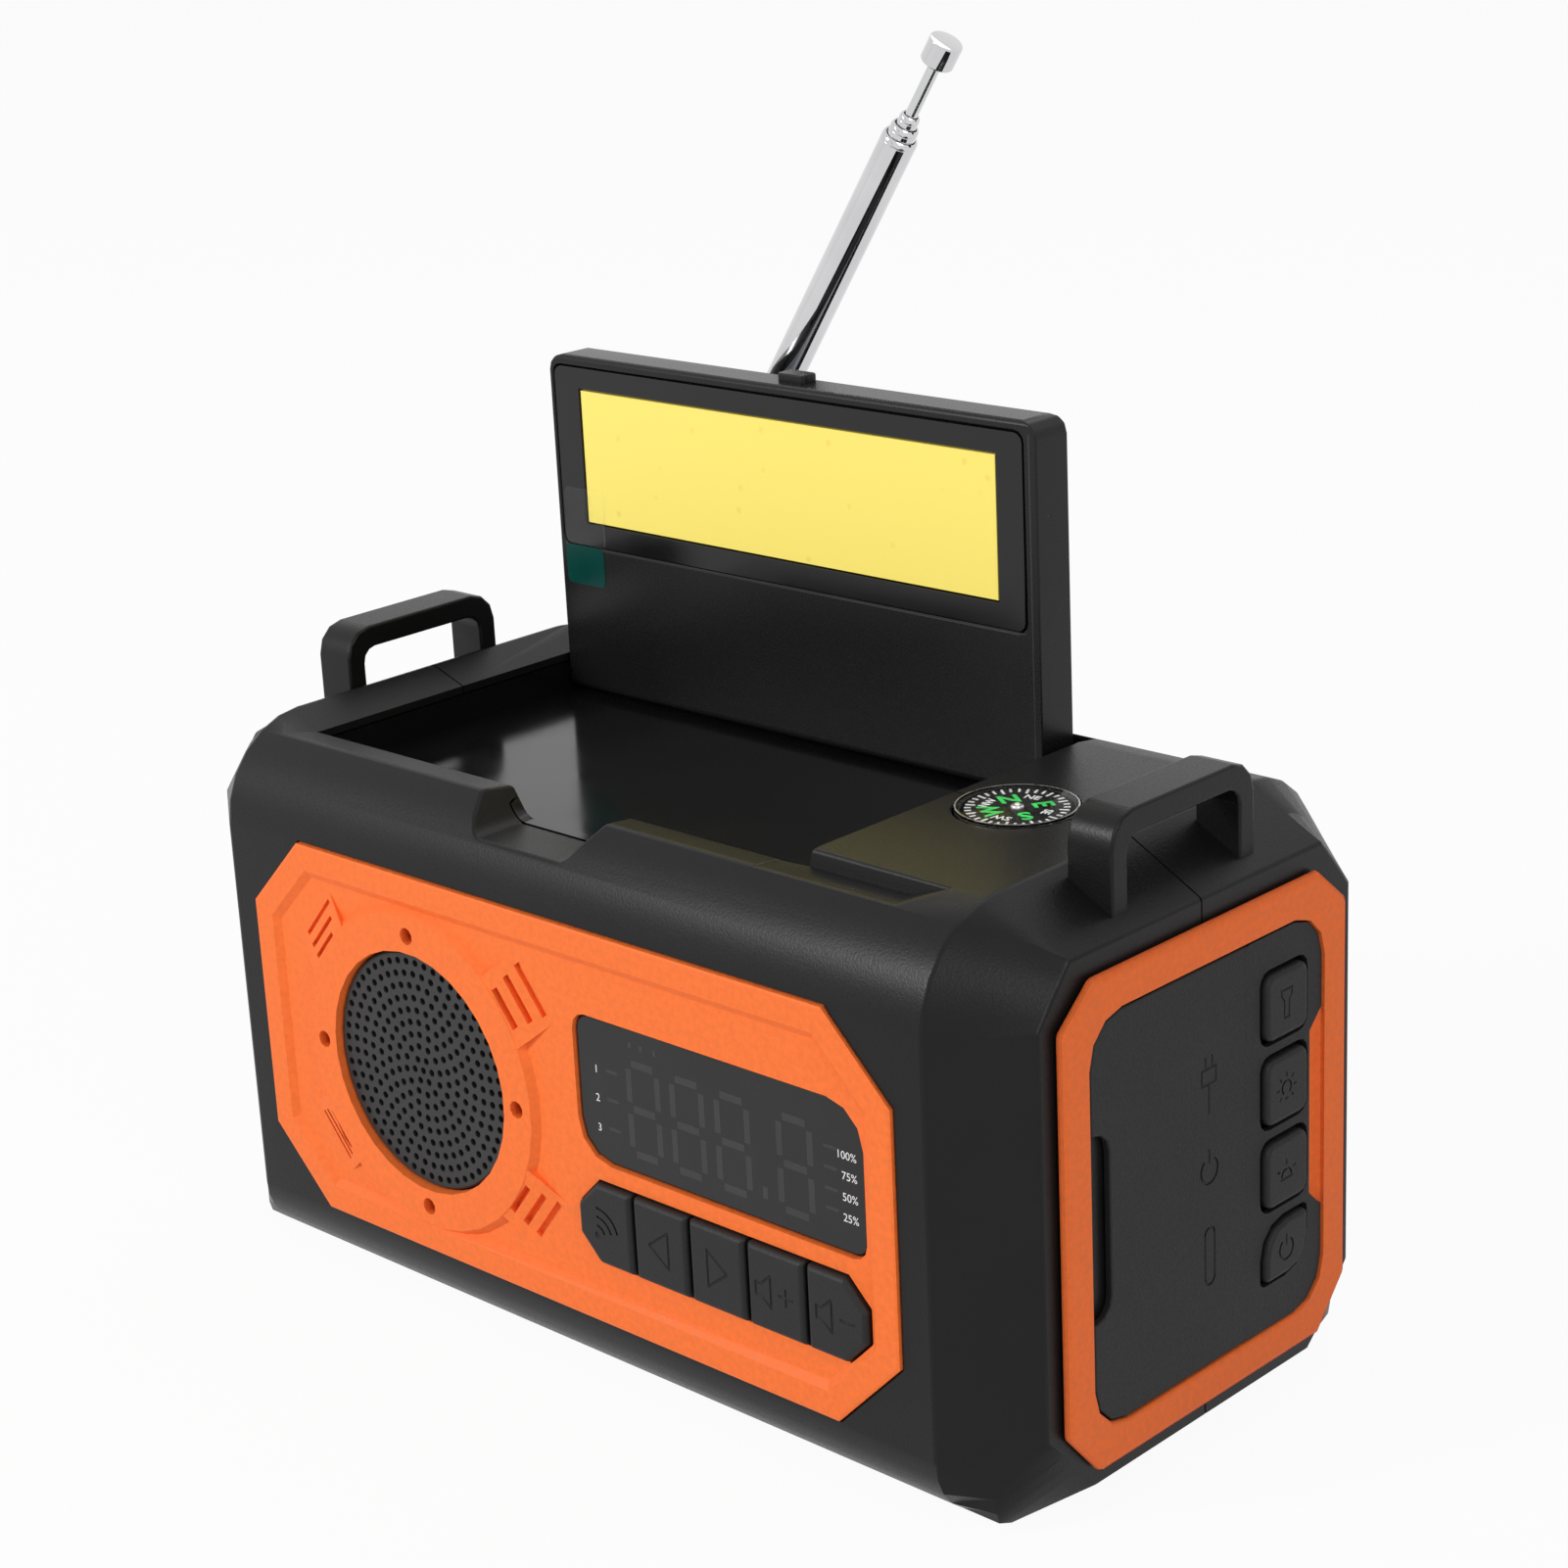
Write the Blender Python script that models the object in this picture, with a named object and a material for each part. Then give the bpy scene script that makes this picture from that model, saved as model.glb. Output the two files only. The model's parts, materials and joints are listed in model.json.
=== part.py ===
"""Emergency radio: a two-part moulded case with a lamp lid over a tray, front and side controls,
a compass, a folding telescopic aerial, a torch and a hand crank with its dynamo.

The origin is the centre of the base; +X is the end with the sockets, -Y the front, +Z up.
Sizes are in millimetres and are turned into metres where a mesh is made.
"""

import math

import bmesh
import bpy
from mathutils import Matrix, Vector

MM = 0.001

# Clearances
GAP = 0.3
RUN_GAP = 0.5
EDGE = 0.6

# Case
BODY_LENGTH = 151.4
BODY_DEPTH = 92.0
BODY_HEIGHT = 92.0
WALL = 3.0
DECK = 4.0
TOP_ROUND = 16.5
BASE_ROUND = 11.0
END_LENGTH = 12.8
END_INSET_SIDE = 9.4
END_INSET_TOP = 7.0
END_INSET_BASE = 3.4
FOOT_SHARE = 0.53
END_TOP_CUT = (7.0, 8.4)
END_BASE_CUT = (10.5, 11.5)
ROUND_STEPS = 6

# Strap loops
LOOP_INSET = 2.8
LOOP_WIDTH = 8.0
LOOP_SPAN = 33.2
LOOP_LEG = 3.6
LOOP_BAR = 3.8
LOOP_RISE = 9.2

# Front plate
PLATE_MARGIN_SIDE = 5.7
PLATE_MARGIN_BASE = 11.7
PLATE_MARGIN_TOP = 15.8
PLATE_CUT = 12.3
PLATE_RECESS = 1.8
PLATE_FIELD = 1.2
PLATE_PROUD = 0.6
BORDER = 4.0
BORDER_SLOPE = 1.6

# Speaker
SPEAKER_R = 20.4
SPEAKER_INSET = 38.9
SPEAKER_DROP = 0.9
SPEAKER_RING = 6.2
RING_SLOPE = 2.0
SPEAKER_SEAT = 1.5
SPEAKER_FLANGE = 3.0
SPEAKER_DEPTH = 20.0
MAGNET_R = 15.0
MAGNET_LENGTH = 8.0
GRILLE_HOLE_R = 0.85
GRILLE_RINGS = 4
GRILLE_THICK = 1.2
MARK_R = 1.45
SLOT_SHARE = 0.38
SLOT_FLOOR = 0.5
# Each ear: its direction, its slots' distances from the middle, their half lengths, and the
# sideways shift of the first and the last slot
EARS = {
    "ear right top": (38.4, (27.5, 30.9, 34.3), (3.5, 4.1, 4.6), (-0.8, -0.9)),
    "ear right base": (-38.4, (27.1, 30.0, 32.8), (3.3, 3.9, 4.4), (1.6, 3.4)),
    "ear left top": (138.8, (27.1, 29.1, 31.3), (3.3, 4.1, 4.7), (1.4, -0.5)),
    "ear left base": (219.9, (26.3, 27.8, 29.2), (3.5, 4.3, 4.6), (-1.7, -1.7)),
}

# Display
DISPLAY_LENGTH = 58.3
DISPLAY_HEIGHT = 23.4
DISPLAY_INSET = 6.3
DISPLAY_RISE = 6.5
DISPLAY_THICK = 0.7
DISPLAY_SMALL_R = 2.5
DISPLAY_LARGE_R = 6.5
DISPLAY_RIM = 2.0
MODULE_THICK = 4.2
BOARD_THICK = 1.6

# Front keys
KEY_NAMES = ("mode_key", "tune_down_key", "tune_up_key", "volume_up_key", "volume_down_key")
KEY_ROW_LENGTH = 59.4
KEY_HEIGHT = 13.4
KEY_DROP = 15.25
KEY_INSET = 5.7
KEY_CUT = 4.2
KEY_PROUD = 1.0
KEY_TRAVEL = 0.8

# End rings and side controls
RING_INSET_SIDE = 3.0
RING_INSET_BASE = 2.8
RING_INSET_TOP = 3.4
RING_PROUD = 1.5
RING_TOP_CUT = (7.0, 6.0)
RING_BASE_CUT = (7.0, 8.0)
RING_BAND = 6.2
PANEL_R = 7.0
PANEL_THICK = 1.1
STRIP_WIDTH = 18.4
STRIP_STEP = 3.0
STEP_SPAN = 26.4
THUMB_SPAN = 28.8
THUMB_DEPTH = 4.0
BUTTON_SIZE = 11.4
BUTTON_PITCH = 13.4
BUTTON_R = 2.0
BUTTON_PROUD = 0.8
BUTTON_TRAVEL = 0.8
BUTTON_EDGE = 3.8
PORT_MARGIN = 4.6
PORT_PANEL_THICK = 1.8
PORT_LAP = 2.4
USB_A = (5.7, 13.2)
TYPE_C = (3.4, 9.2)
SOCKET_LENGTH = 11.0
SOCKET_WALL = 0.6
USB_A_RISE = 13.0
TYPE_C_RISE = -14.6
PLUG_THICK = 1.6

# Torch
TORCH_R = 17.0
TORCH_DEPTH = 18.0
TORCH_WALL = 1.0
LED_R = 4.5
LED_BOARD_R = 10.0

# Tray and lid
TRAY_INSET_LEFT = 7.5
PLATFORM_WIDTH = 33.4
TRAY_INSET_FRONT = 14.4
TRAY_INSET_REAR = 13.2
TRAY_WALL = 2.0
TRAY_DROP = 8.9
LIP_DROP = 2.7
LIP_RUN_LEFT = 8.6
LIP_RUN_FRONT = 22.0
LIP_END_INSET = 13.5
NOTCH_X = -7.3
NOTCH_HALF = 10.0
NOTCH_SLOPE = 6.5
NOTCH_DROP = 7.4
LID_THICK = 7.7
LID_PLAY = 1.0
LID_PLAY_FRONT = 0.5
LID_PLAY_RIGHT = 2.0
HINGE_FROM_FACE = 2.25
HINGE_FROM_END = 2.5
HINGE_PIN_R = 1.2
LID_FLUSH = 0.8
LID_CORNER = 3.0
WINDOW_HEIGHT = 31.2
WINDOW_MARGIN = (1.2, 2.8, 2.0)
WINDOW_THICK = 1.2
LAMP_MARGIN = (7.3, 8.3, 5.9)
LAMP_HEIGHT = 23.0
SOLAR_MARGIN = 3.5
SOLAR_THICK = 1.2
TAB = (6.0, 3.5, 2.2)
TAB_SHIFT = 0.8

# Compass
COMPASS_R = 9.4
COMPASS_INSET = 20.6
COMPASS_DEPTH = 7.0
CARD_DROP = 1.2
COMPASS_WALL = 1.0
CARD_THICK = 0.8
DOME_RISE = 1.6

# Aerial
AERIAL_D = 5.9
AERIAL_WALL = 0.35
AERIAL_INSET_X = 13.6
AERIAL_LEAN = 56.0
AERIAL_TUBE_END = 115.0
AERIAL_STUB = 2.0
AERIAL_ROD_END = 128.8
KNOB_R = 2.75
KNOB_LENGTH = 4.6
LEDGE_WALL = 2.4
FORK_R = 4.5
FORK_CHEEK = 1.8
TONGUE_THICK = 2.8
AERIAL_PIN_R = 1.2
POCKET_DEPTH = 6.6

# Crank and dynamo
DISH_R = 31.0
DISH_DEPTH = 8.0
CRANK_R = 24.0
CRANK_THICK = 3.6
CRANK_WIDTH = 11.0
HUB_R = 8.0
HANDLE_SPACE = 1.0
HANDLE_WIDTH = 6.0
HANDLE_THICK = 3.2
SHAFT_R = 2.5
GEAR_MODULE = 1.0
GEAR_TEETH = 36
PINION_TEETH = 12
GEAR_WIDTH = 6.0
DYNAMO_R = 14.0
DYNAMO_DEPTH = 17.0

# Works and screws
POST_R = 4.0
POST_INSET = 9.7
POST_LOW = 12.0
POST_DROP = 24.0
SCREW_R = 1.5
SCREW_HEAD_R = 3.0
SCREW_HEAD = 2.2
SCREW_REACH = 8.0
POST_FLOOR = 8.0
CELL_R = 9.0
CELL_LENGTH = 65.0
BOARD_SIZE = (116.0, 30.0)
BOSS_HEIGHT = 3.0
BOSS_R = 2.5
ROD_R = 4.0
ROD_LENGTH = 56.0

# Places that follow from the sizes above
HALF = BODY_LENGTH / 2
END = HALF + END_LENGTH
FRONT = -BODY_DEPTH / 2
REAR = BODY_DEPTH / 2
TOP = BODY_HEIGHT
MID_Z = (PLATE_MARGIN_BASE + TOP - PLATE_MARGIN_TOP) / 2
PLATE_HALF = HALF - PLATE_MARGIN_SIDE
SEAT = FRONT + PLATE_RECESS
PLATE_BACK = SEAT - GAP
INNER_FRONT = FRONT + WALL
INNER_REAR = REAR - WALL
CEILING = TOP - DECK
SPEAKER = (-PLATE_HALF + SPEAKER_INSET, MID_Z - SPEAKER_DROP)
RING_MID_Z = (END_INSET_BASE + RING_INSET_BASE + TOP - END_INSET_TOP - RING_INSET_TOP) / 2
TRAY_LEFT = -HALF + TRAY_INSET_LEFT
TRAY_RIGHT = HALF - PLATFORM_WIDTH
TRAY_FRONT = FRONT + TRAY_INSET_FRONT
TRAY_REAR = REAR - TRAY_INSET_REAR
TRAY_FLOOR = TOP - TRAY_DROP
LID_LEFT = TRAY_LEFT + LID_PLAY
LID_RIGHT = TRAY_RIGHT - LID_PLAY_RIGHT
LID_BACK_SWEEP = math.hypot(LID_THICK - HINGE_FROM_FACE, HINGE_FROM_END)
HINGE_Y = TRAY_REAR - RUN_GAP - LID_BACK_SWEEP
HINGE_Z = min(TOP - LID_FLUSH - (LID_THICK - HINGE_FROM_FACE), CEILING - HINGE_PIN_R - 1.0)
LID_REACH = HINGE_Y - TRAY_FRONT - LID_PLAY_FRONT
LID_FACE = HINGE_Y - HINGE_FROM_FACE
LID_BACK = LID_FACE + LID_THICK
LID_TOP = HINGE_Z + LID_REACH
LEDGE_Y = TRAY_REAR + LEDGE_WALL
AERIAL_REST = max(AERIAL_D / 2, KNOB_R)
FORK_HALF = TONGUE_THICK / 2 + GAP + FORK_CHEEK
AERIAL_Y = LEDGE_Y + GAP + max(AERIAL_REST, FORK_HALF)
AERIAL_X = -HALF + AERIAL_INSET_X
LEDGE_Z = TOP - AERIAL_D - 3.0
AERIAL_Z = LEDGE_Z + RUN_GAP + AERIAL_REST
CRANK_Z = (BASE_ROUND + TOP - TOP_ROUND) / 2
DISH_FLOOR = REAR - DISH_DEPTH
DISH_BACK = DISH_FLOOR - WALL
GEAR_BACK = DISH_BACK - 2.0
GEAR_FRONT = GEAR_BACK - GEAR_WIDTH
DYNAMO_X = GEAR_MODULE * (GEAR_TEETH + PINION_TEETH) / 2
POST_X = HALF - POST_INSET
POST_HIGH = TOP - POST_DROP
PANEL_FACE = END + GAP + PANEL_THICK

MATERIALS = {
    "black_plastic": ((0.020, 0.020, 0.021), 0.55, 0.0),
    "gloss_black": ((0.010, 0.010, 0.011), 0.15, 0.0),
    "orange_plastic": ((0.90, 0.16, 0.02), 0.6, 0.0),
    "black_rubber": ((0.022, 0.022, 0.023), 0.75, 0.0),
    "smoked_window": ((0.030, 0.030, 0.032), 0.12, 0.0),
    "lamp_yellow": ((0.95, 0.78, 0.12), 0.5, 0.0),
    "solar_cell": ((0.010, 0.014, 0.035), 0.2, 0.0),
    "chrome": ((0.80, 0.80, 0.81), 0.08, 1.0),
    "steel": ((0.55, 0.55, 0.56), 0.3, 1.0),
    "clear": ((0.85, 0.87, 0.88), 0.05, 0.0),
    "board_green": ((0.02, 0.16, 0.07), 0.5, 0.0),
    "nylon": ((0.78, 0.77, 0.72), 0.5, 0.0),
    "paper_cone": ((0.05, 0.05, 0.05), 0.9, 0.0),
    "cell_wrap": ((0.05, 0.22, 0.50), 0.4, 0.0),
    "ferrite": ((0.06, 0.06, 0.065), 0.6, 0.0),
    "reflector": ((0.85, 0.85, 0.86), 0.1, 1.0),
}


def clear_scene():
    for old in list(bpy.data.objects):
        bpy.data.objects.remove(old, do_unlink=True)


def material(name):
    found = bpy.data.materials.get(name)
    if found:
        return found
    colour, roughness, metallic = MATERIALS[name]
    made = bpy.data.materials.new(name)
    made.use_nodes = True
    shader = made.node_tree.nodes["Principled BSDF"]
    shader.inputs["Base Color"].default_value = (*colour, 1.0)
    shader.inputs["Roughness"].default_value = roughness
    shader.inputs["Metallic"].default_value = metallic
    return made


def solid(name, bm, finish=None, origin=(0, 0, 0)):
    """A mesh object from a bmesh in millimetres; with no finish it is a tool for cutting or joining."""
    bmesh.ops.recalc_face_normals(bm, faces=bm.faces)
    bm.transform(Matrix.Translation(-Vector(origin)))
    bm.transform(Matrix.Scale(MM, 4))
    mesh = bpy.data.meshes.new(name)
    bm.to_mesh(mesh)
    bm.free()
    made = bpy.data.objects.new(name, mesh)
    made.location = Vector(origin) * MM
    bpy.context.scene.collection.objects.link(made)
    if finish:
        mesh.materials.append(material(finish))
        mesh.shade_smooth()
        mesh.set_sharp_from_angle(angle=math.radians(35))
    else:
        made.hide_render = True
        made.display_type = "WIRE"
    return made


def boolean(target, tool, operation):
    step = target.modifiers.new(f"{operation.lower()} {tool.name}", "BOOLEAN")
    step.operation = operation
    step.object = tool
    step.solver = "EXACT"


def cut(target, *tools):
    for tool in tools:
        boolean(target, tool, "DIFFERENCE")


def join(target, *tools):
    for tool in tools:
        boolean(target, tool, "UNION")


def at(axis, a, b, along):
    """A point from two coordinates across an axis and one along it."""
    if axis == "X":
        return Vector((along, a, b))
    if axis == "Y":
        return Vector((a, along, b))
    return Vector((a, b, along))


def loft(name, sections, finish=None, origin=(0, 0, 0)):
    """A closed solid through rings of points that have the same count."""
    bm = bmesh.new()
    rings = [[bm.verts.new(p) for p in ring] for ring in sections]
    for ring, after in zip(rings, rings[1:]):
        for i in range(len(ring)):
            k = (i + 1) % len(ring)
            bm.faces.new((ring[i], ring[k], after[k], after[i]))
    bm.faces.new(rings[0])
    bm.faces.new(rings[-1])
    return solid(name, bm, finish, origin)


def prism(name, outline, axis, low, high, finish=None, origin=(0, 0, 0)):
    return loft(name, [[at(axis, a, b, s) for a, b in outline] for s in (low, high)], finish, origin)


def capped(name, outline, axis, back, face, edge, finish, origin=(0, 0, 0)):
    """A prism whose face end is drawn in by a small edge slope."""
    shoulder = face - math.copysign(edge, face - back)
    rings = [(outline, back), (outline, shoulder), (inset(outline, edge), face)]
    return loft(name, [[at(axis, a, b, s) for a, b in ring] for ring, s in rings], finish, origin)


def box(name, low, high, finish=None, origin=(0, 0, 0)):
    outline = [(low[0], low[1]), (high[0], low[1]), (high[0], high[1]), (low[0], high[1])]
    return prism(name, outline, "Z", low[2], high[2], finish, origin)


def circle(radius, steps, centre=(0, 0), phase=0.5):
    turn = 2 * math.pi / steps
    return [
        (centre[0] + radius * math.cos(turn * (i + phase)), centre[1] + radius * math.sin(turn * (i + phase)))
        for i in range(steps)
    ]


def rod(name, radius, axis, centre, low, high, finish=None, steps=16, origin=(0, 0, 0)):
    return prism(name, circle(radius, steps, centre), axis, low, high, finish, origin)


def turned(name, profile, axis, centre, finish=None, steps=24, origin=(0, 0, 0)):
    """A turned solid. The profile gives (radius, place along the axis) and starts and ends on the axis,
    or runs round a closed ring section."""
    bm = bmesh.new()
    rows = []
    for radius, along in profile:
        if radius == 0:
            rows.append([bm.verts.new(at(axis, centre[0], centre[1], along))])
        else:
            rows.append([bm.verts.new(at(axis, a, b, along)) for a, b in circle(radius, steps, centre)])
    hollow = len(rows[0]) > 1
    pairs = list(zip(rows, rows[1:] + rows[:1])) if hollow else list(zip(rows, rows[1:]))
    for row, after in pairs:
        for i in range(steps):
            k = (i + 1) % steps
            if len(row) == 1:
                bm.faces.new((row[0], after[k], after[i]))
            elif len(after) == 1:
                bm.faces.new((row[i], row[k], after[0]))
            else:
                bm.faces.new((row[i], row[k], after[k], after[i]))
    return solid(name, bm, finish, origin)


def fillet(corners, steps=3):
    """A closed outline from corners (a, b, radius) with round arcs at the corners that have a radius."""
    outline = []
    count = len(corners)
    for i, (a, b, radius) in enumerate(corners):
        here = Vector((a, b))
        if radius == 0:
            outline.append((a, b))
            continue
        before = (Vector(corners[i - 1][:2]) - here).normalized()
        after = (Vector(corners[(i + 1) % count][:2]) - here).normalized()
        half = before.angle(after) / 2
        centre = here + (before + after).normalized() * (radius / math.sin(half))
        start = here + before * (radius / math.tan(half)) - centre
        sweep = start.angle_signed(here + after * (radius / math.tan(half)) - centre)
        for k in range(steps + 1):
            turn = -sweep * k / steps
            c, s = math.cos(turn), math.sin(turn)
            outline.append((centre.x + c * start.x - s * start.y, centre.y + s * start.x + c * start.y))
    return outline


def rectangle(a0, a1, b0, b1, radius=0.0, steps=3):
    return fillet([(a0, b0, radius), (a1, b0, radius), (a1, b1, radius), (a0, b1, radius)], steps)


def inset(outline, amount):
    """The outline drawn in (or, with a negative amount, let out) by the same amount all round."""
    area = sum(p[0] * q[1] - q[0] * p[1] for p, q in zip(outline, outline[1:] + outline[:1]))
    side = math.copysign(1.0, area)
    moved = []
    for i, here in enumerate(outline):
        before = (Vector(here) - Vector(outline[i - 1])).normalized()
        after = (Vector(outline[(i + 1) % len(outline)]) - Vector(here)).normalized()
        normals = Vector((-before.y, before.x)) * side, Vector((-after.y, after.x)) * side
        bisector = (normals[0] + normals[1]).normalized()
        moved.append(tuple(Vector(here) + bisector * (amount / bisector.dot(normals[0]))))
    return moved


def octagon(a0, a1, b0, b1, base_cut, top_cut):
    return [
        (a0 + base_cut[0], b0),
        (a1 - base_cut[0], b0),
        (a1, b0 + base_cut[1]),
        (a1, b1 - top_cut[1]),
        (a1 - top_cut[0], b1),
        (a0 + top_cut[0], b1),
        (a0, b1 - top_cut[1]),
        (a0, b0 + base_cut[1]),
    ]


def case_section(x, half, low, high, base, top, round_corners):
    """One ring of the case: corners are arcs, or straight cuts with as many points."""
    corners = (
        ((-half, low), (1, 1), base, 270),
        ((-half, high), (1, -1), top, 180),
        ((half, high), (-1, -1), top, 90),
        ((half, low), (-1, 1), base, 0),
    )
    ring = []
    for (y, z), (sy, sz), (cy, cz), start in corners:
        starts_flat = start in (270, 90)
        first = (y + sy * cy, z) if starts_flat else (y, z + sz * cz)
        last = (y, z + sz * cz) if starts_flat else (y + sy * cy, z)
        for k in range(ROUND_STEPS + 1):
            t = k / ROUND_STEPS
            if round_corners:
                angle = math.radians(start - 90 * t)
                ring.append((x, y + sy * cy + cy * math.cos(angle), z + sz * cz + cz * math.sin(angle)))
            else:
                ring.append((x, first[0] + (last[0] - first[0]) * t, first[1] + (last[1] - first[1]) * t))
    return ring


def foot_section(side, shoulder, end):
    """The ring where an end's base starts to lift: the shoulder's base, cut off by the sloped sides."""
    half = REAR - END_INSET_SIDE * FOOT_SHARE
    ring = []
    for (_, y0, z0), (_, y1, z1) in zip(shoulder, end):
        if z0 < TOP / 2:
            place = (max(-half, min(half, y0)), z0)
        else:
            place = (y0 + (y1 - y0) * FOOT_SHARE, z0 + (z1 - z0) * FOOT_SHARE)
        ring.append((side * (HALF + END_LENGTH * FOOT_SHARE), *place))
    return ring


def case_block(name, wall, deck):
    """The case's outer form, or with a wall its hollow: straight between the shoulders, with sloped ends."""
    rings = []
    for side in (-1, 1):
        shoulder = case_section(
            side * (HALF - wall / 3),
            REAR - wall,
            wall,
            TOP - deck,
            (BASE_ROUND - wall,) * 2,
            (TOP_ROUND - wall,) * 2,
            True,
        )
        end = case_section(
            side * (END - wall),
            REAR - END_INSET_SIDE - wall,
            END_INSET_BASE + wall,
            TOP - END_INSET_TOP - deck,
            END_BASE_CUT,
            END_TOP_CUT,
            False,
        )
        own = [shoulder, end] if wall > 0 else [shoulder, foot_section(side, shoulder, end), end]
        rings += own if side > 0 else own[::-1]
    return loft(name, rings)


def strap_loop(name, side):
    """A loop standing on the sloped top of one end, its feet shaped to the case."""
    foot = TOP - END_INSET_TOP
    half = LOOP_SPAN / 2
    crown = TOP + LOOP_RISE
    outline = fillet([
        (-half, foot, 0),
        (-half, crown, 5.0),
        (half, crown, 5.0),
        (half, foot, 0),
        (half - LOOP_LEG, foot, 0),
        (half - LOOP_LEG, crown - LOOP_BAR, 2.5),
        (-half + LOOP_LEG, crown - LOOP_BAR, 2.5),
        (-half + LOOP_LEG, foot, 0),
    ])
    outer = END - LOOP_INSET
    loop = prism(name, outline, "X", side * (outer - LOOP_WIDTH), side * outer, "black_plastic")
    cut(loop, case_block(f"{name} seat", -GAP, -GAP))


def post_places():
    return [(side * POST_X, z) for z in (POST_LOW, POST_HIGH) for side in (-1, 1)]


def case_hollow():
    """The hollow of the case, less everything moulded inside it."""
    hollow = case_block("hollow", WALL, DECK)
    for i, place in enumerate(post_places()):
        cut(hollow, rod(f"post form {i}", POST_R, "Y", place, FRONT - 1, REAR + 1))
    notch_half = NOTCH_HALF + NOTCH_SLOPE + WALL
    cut(hollow, box(
        "notch block",
        (NOTCH_X - notch_half, FRONT - 1, TOP - NOTCH_DROP - 2 * WALL),
        (NOTCH_X + notch_half, TRAY_FRONT - TRAY_WALL - GAP, TOP + 1),
    ))
    cut(hollow, rod("dish block", DISH_R + WALL, "Y", (0, CRANK_Z), DISH_BACK, REAR + 1, steps=32))
    cut(hollow, box(
        "ledge block",
        (-END, TRAY_REAR, LEDGE_Z - WALL),
        (END, REAR + 1, TOP + 1),
    ))
    cut(hollow, box(
        "pocket block",
        (AERIAL_X - FORK_R - WALL, TRAY_REAR, LEDGE_Z - POCKET_DEPTH - WALL),
        (AERIAL_X + FORK_R + WALL, REAR + 1, LEDGE_Z - 1),
    ))
    for i, (x, y) in enumerate(board_bosses()):
        cut(hollow, rod(f"boss form {i}", BOSS_R, "Z", (x, y), -1, WALL + BOSS_HEIGHT, steps=10))
    return hollow


def board_span():
    rear = INNER_REAR - BASE_ROUND / 2
    return rear - BOARD_SIZE[1], rear


def board_bosses():
    front, rear = board_span()
    across = BOARD_SIZE[0] / 2 - 2 * BOSS_R
    return [(side * across, y) for y in (front + 2 * BOSS_R, rear - 2 * BOSS_R) for side in (-1, 1)]


def tray_cutters():
    """The opening over the tray, its sloped lip, the finger notch and the lip in front of the platform."""
    low, high = TOP - LIP_DROP, TOP + GAP
    inner = [
        (TRAY_LEFT, TRAY_FRONT), (TRAY_RIGHT, TRAY_FRONT),
        (TRAY_RIGHT, TRAY_REAR + 0.1), (TRAY_LEFT, TRAY_REAR + 0.1),
    ]
    outer = [
        (TRAY_LEFT - LIP_RUN_LEFT, TRAY_FRONT - LIP_RUN_FRONT),
        (TRAY_RIGHT + RUN_GAP, TRAY_FRONT - LIP_RUN_FRONT),
        (TRAY_RIGHT + RUN_GAP, TRAY_REAR + RUN_GAP),
        (TRAY_LEFT - LIP_RUN_LEFT, TRAY_REAR + RUN_GAP),
    ]
    opening = loft("tray opening", [
        [(x, y, CEILING - 1) for x, y in inner],
        [(x, y, low) for x, y in inner],
        [(x, y, high) for x, y in outer],
    ])
    lip_end = HALF - LIP_END_INSET
    strip_low = [
        (TRAY_RIGHT - 5, TRAY_FRONT - 1), (lip_end, TRAY_FRONT - 1),
        (lip_end, TRAY_FRONT), (TRAY_RIGHT - 5, TRAY_FRONT),
    ]
    strip_high = [
        (TRAY_RIGHT - 5, TRAY_FRONT - LIP_RUN_FRONT),
        (lip_end + LIP_RUN_LEFT, TRAY_FRONT - LIP_RUN_FRONT),
        (lip_end + LIP_RUN_LEFT, TRAY_FRONT + RUN_GAP),
        (TRAY_RIGHT - 5, TRAY_FRONT + RUN_GAP),
    ]
    strip = loft("platform lip", [[(x, y, low) for x, y in strip_low], [(x, y, high) for x, y in strip_high]])
    return opening, strip


def notch_cutter():
    floor = TOP - NOTCH_DROP
    rim = TOP + 2
    outline = fillet([
        (NOTCH_X - NOTCH_HALF, floor, 3.0),
        (NOTCH_X + NOTCH_HALF, floor, 3.0),
        (NOTCH_X + NOTCH_HALF + NOTCH_SLOPE, rim, 0),
        (NOTCH_X - NOTCH_HALF - NOTCH_SLOPE, rim, 0),
    ])
    return prism("finger notch", outline, "Y", FRONT - 5, TRAY_FRONT + LID_PLAY)


def display_outline(margin=0.0):
    right = PLATE_HALF - DISPLAY_INSET
    left = right - DISPLAY_LENGTH
    low = MID_Z + DISPLAY_RISE - DISPLAY_HEIGHT / 2
    high = low + DISPLAY_HEIGHT
    outline = fillet([
        (left, low, DISPLAY_LARGE_R),
        (right, low, DISPLAY_SMALL_R),
        (right, high, DISPLAY_LARGE_R),
        (left, high, DISPLAY_SMALL_R),
    ])
    return inset(outline, margin)


def key_span():
    right = PLATE_HALF - KEY_INSET
    low = MID_Z - KEY_DROP - KEY_HEIGHT / 2
    return right - KEY_ROW_LENGTH, right, low, low + KEY_HEIGHT


def key_row_outline(margin=0.0):
    left, right, low, high = key_span()
    return inset(octagon(left, right, low, high, (KEY_CUT, KEY_CUT), (KEY_CUT, KEY_CUT)), margin)


def plate_outline(margin=0.0):
    high = TOP - PLATE_MARGIN_TOP
    cuts = (PLATE_CUT, PLATE_CUT)
    return inset(octagon(-PLATE_HALF, PLATE_HALF, PLATE_MARGIN_BASE, high, cuts, cuts), margin)


def ring_outline(margin=0.0):
    half = REAR - END_INSET_SIDE - RING_INSET_SIDE
    low = END_INSET_BASE + RING_INSET_BASE
    high = TOP - END_INSET_TOP - RING_INSET_TOP
    return inset(octagon(-half, half, low, high, RING_BASE_CUT, RING_TOP_CUT), margin)


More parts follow.
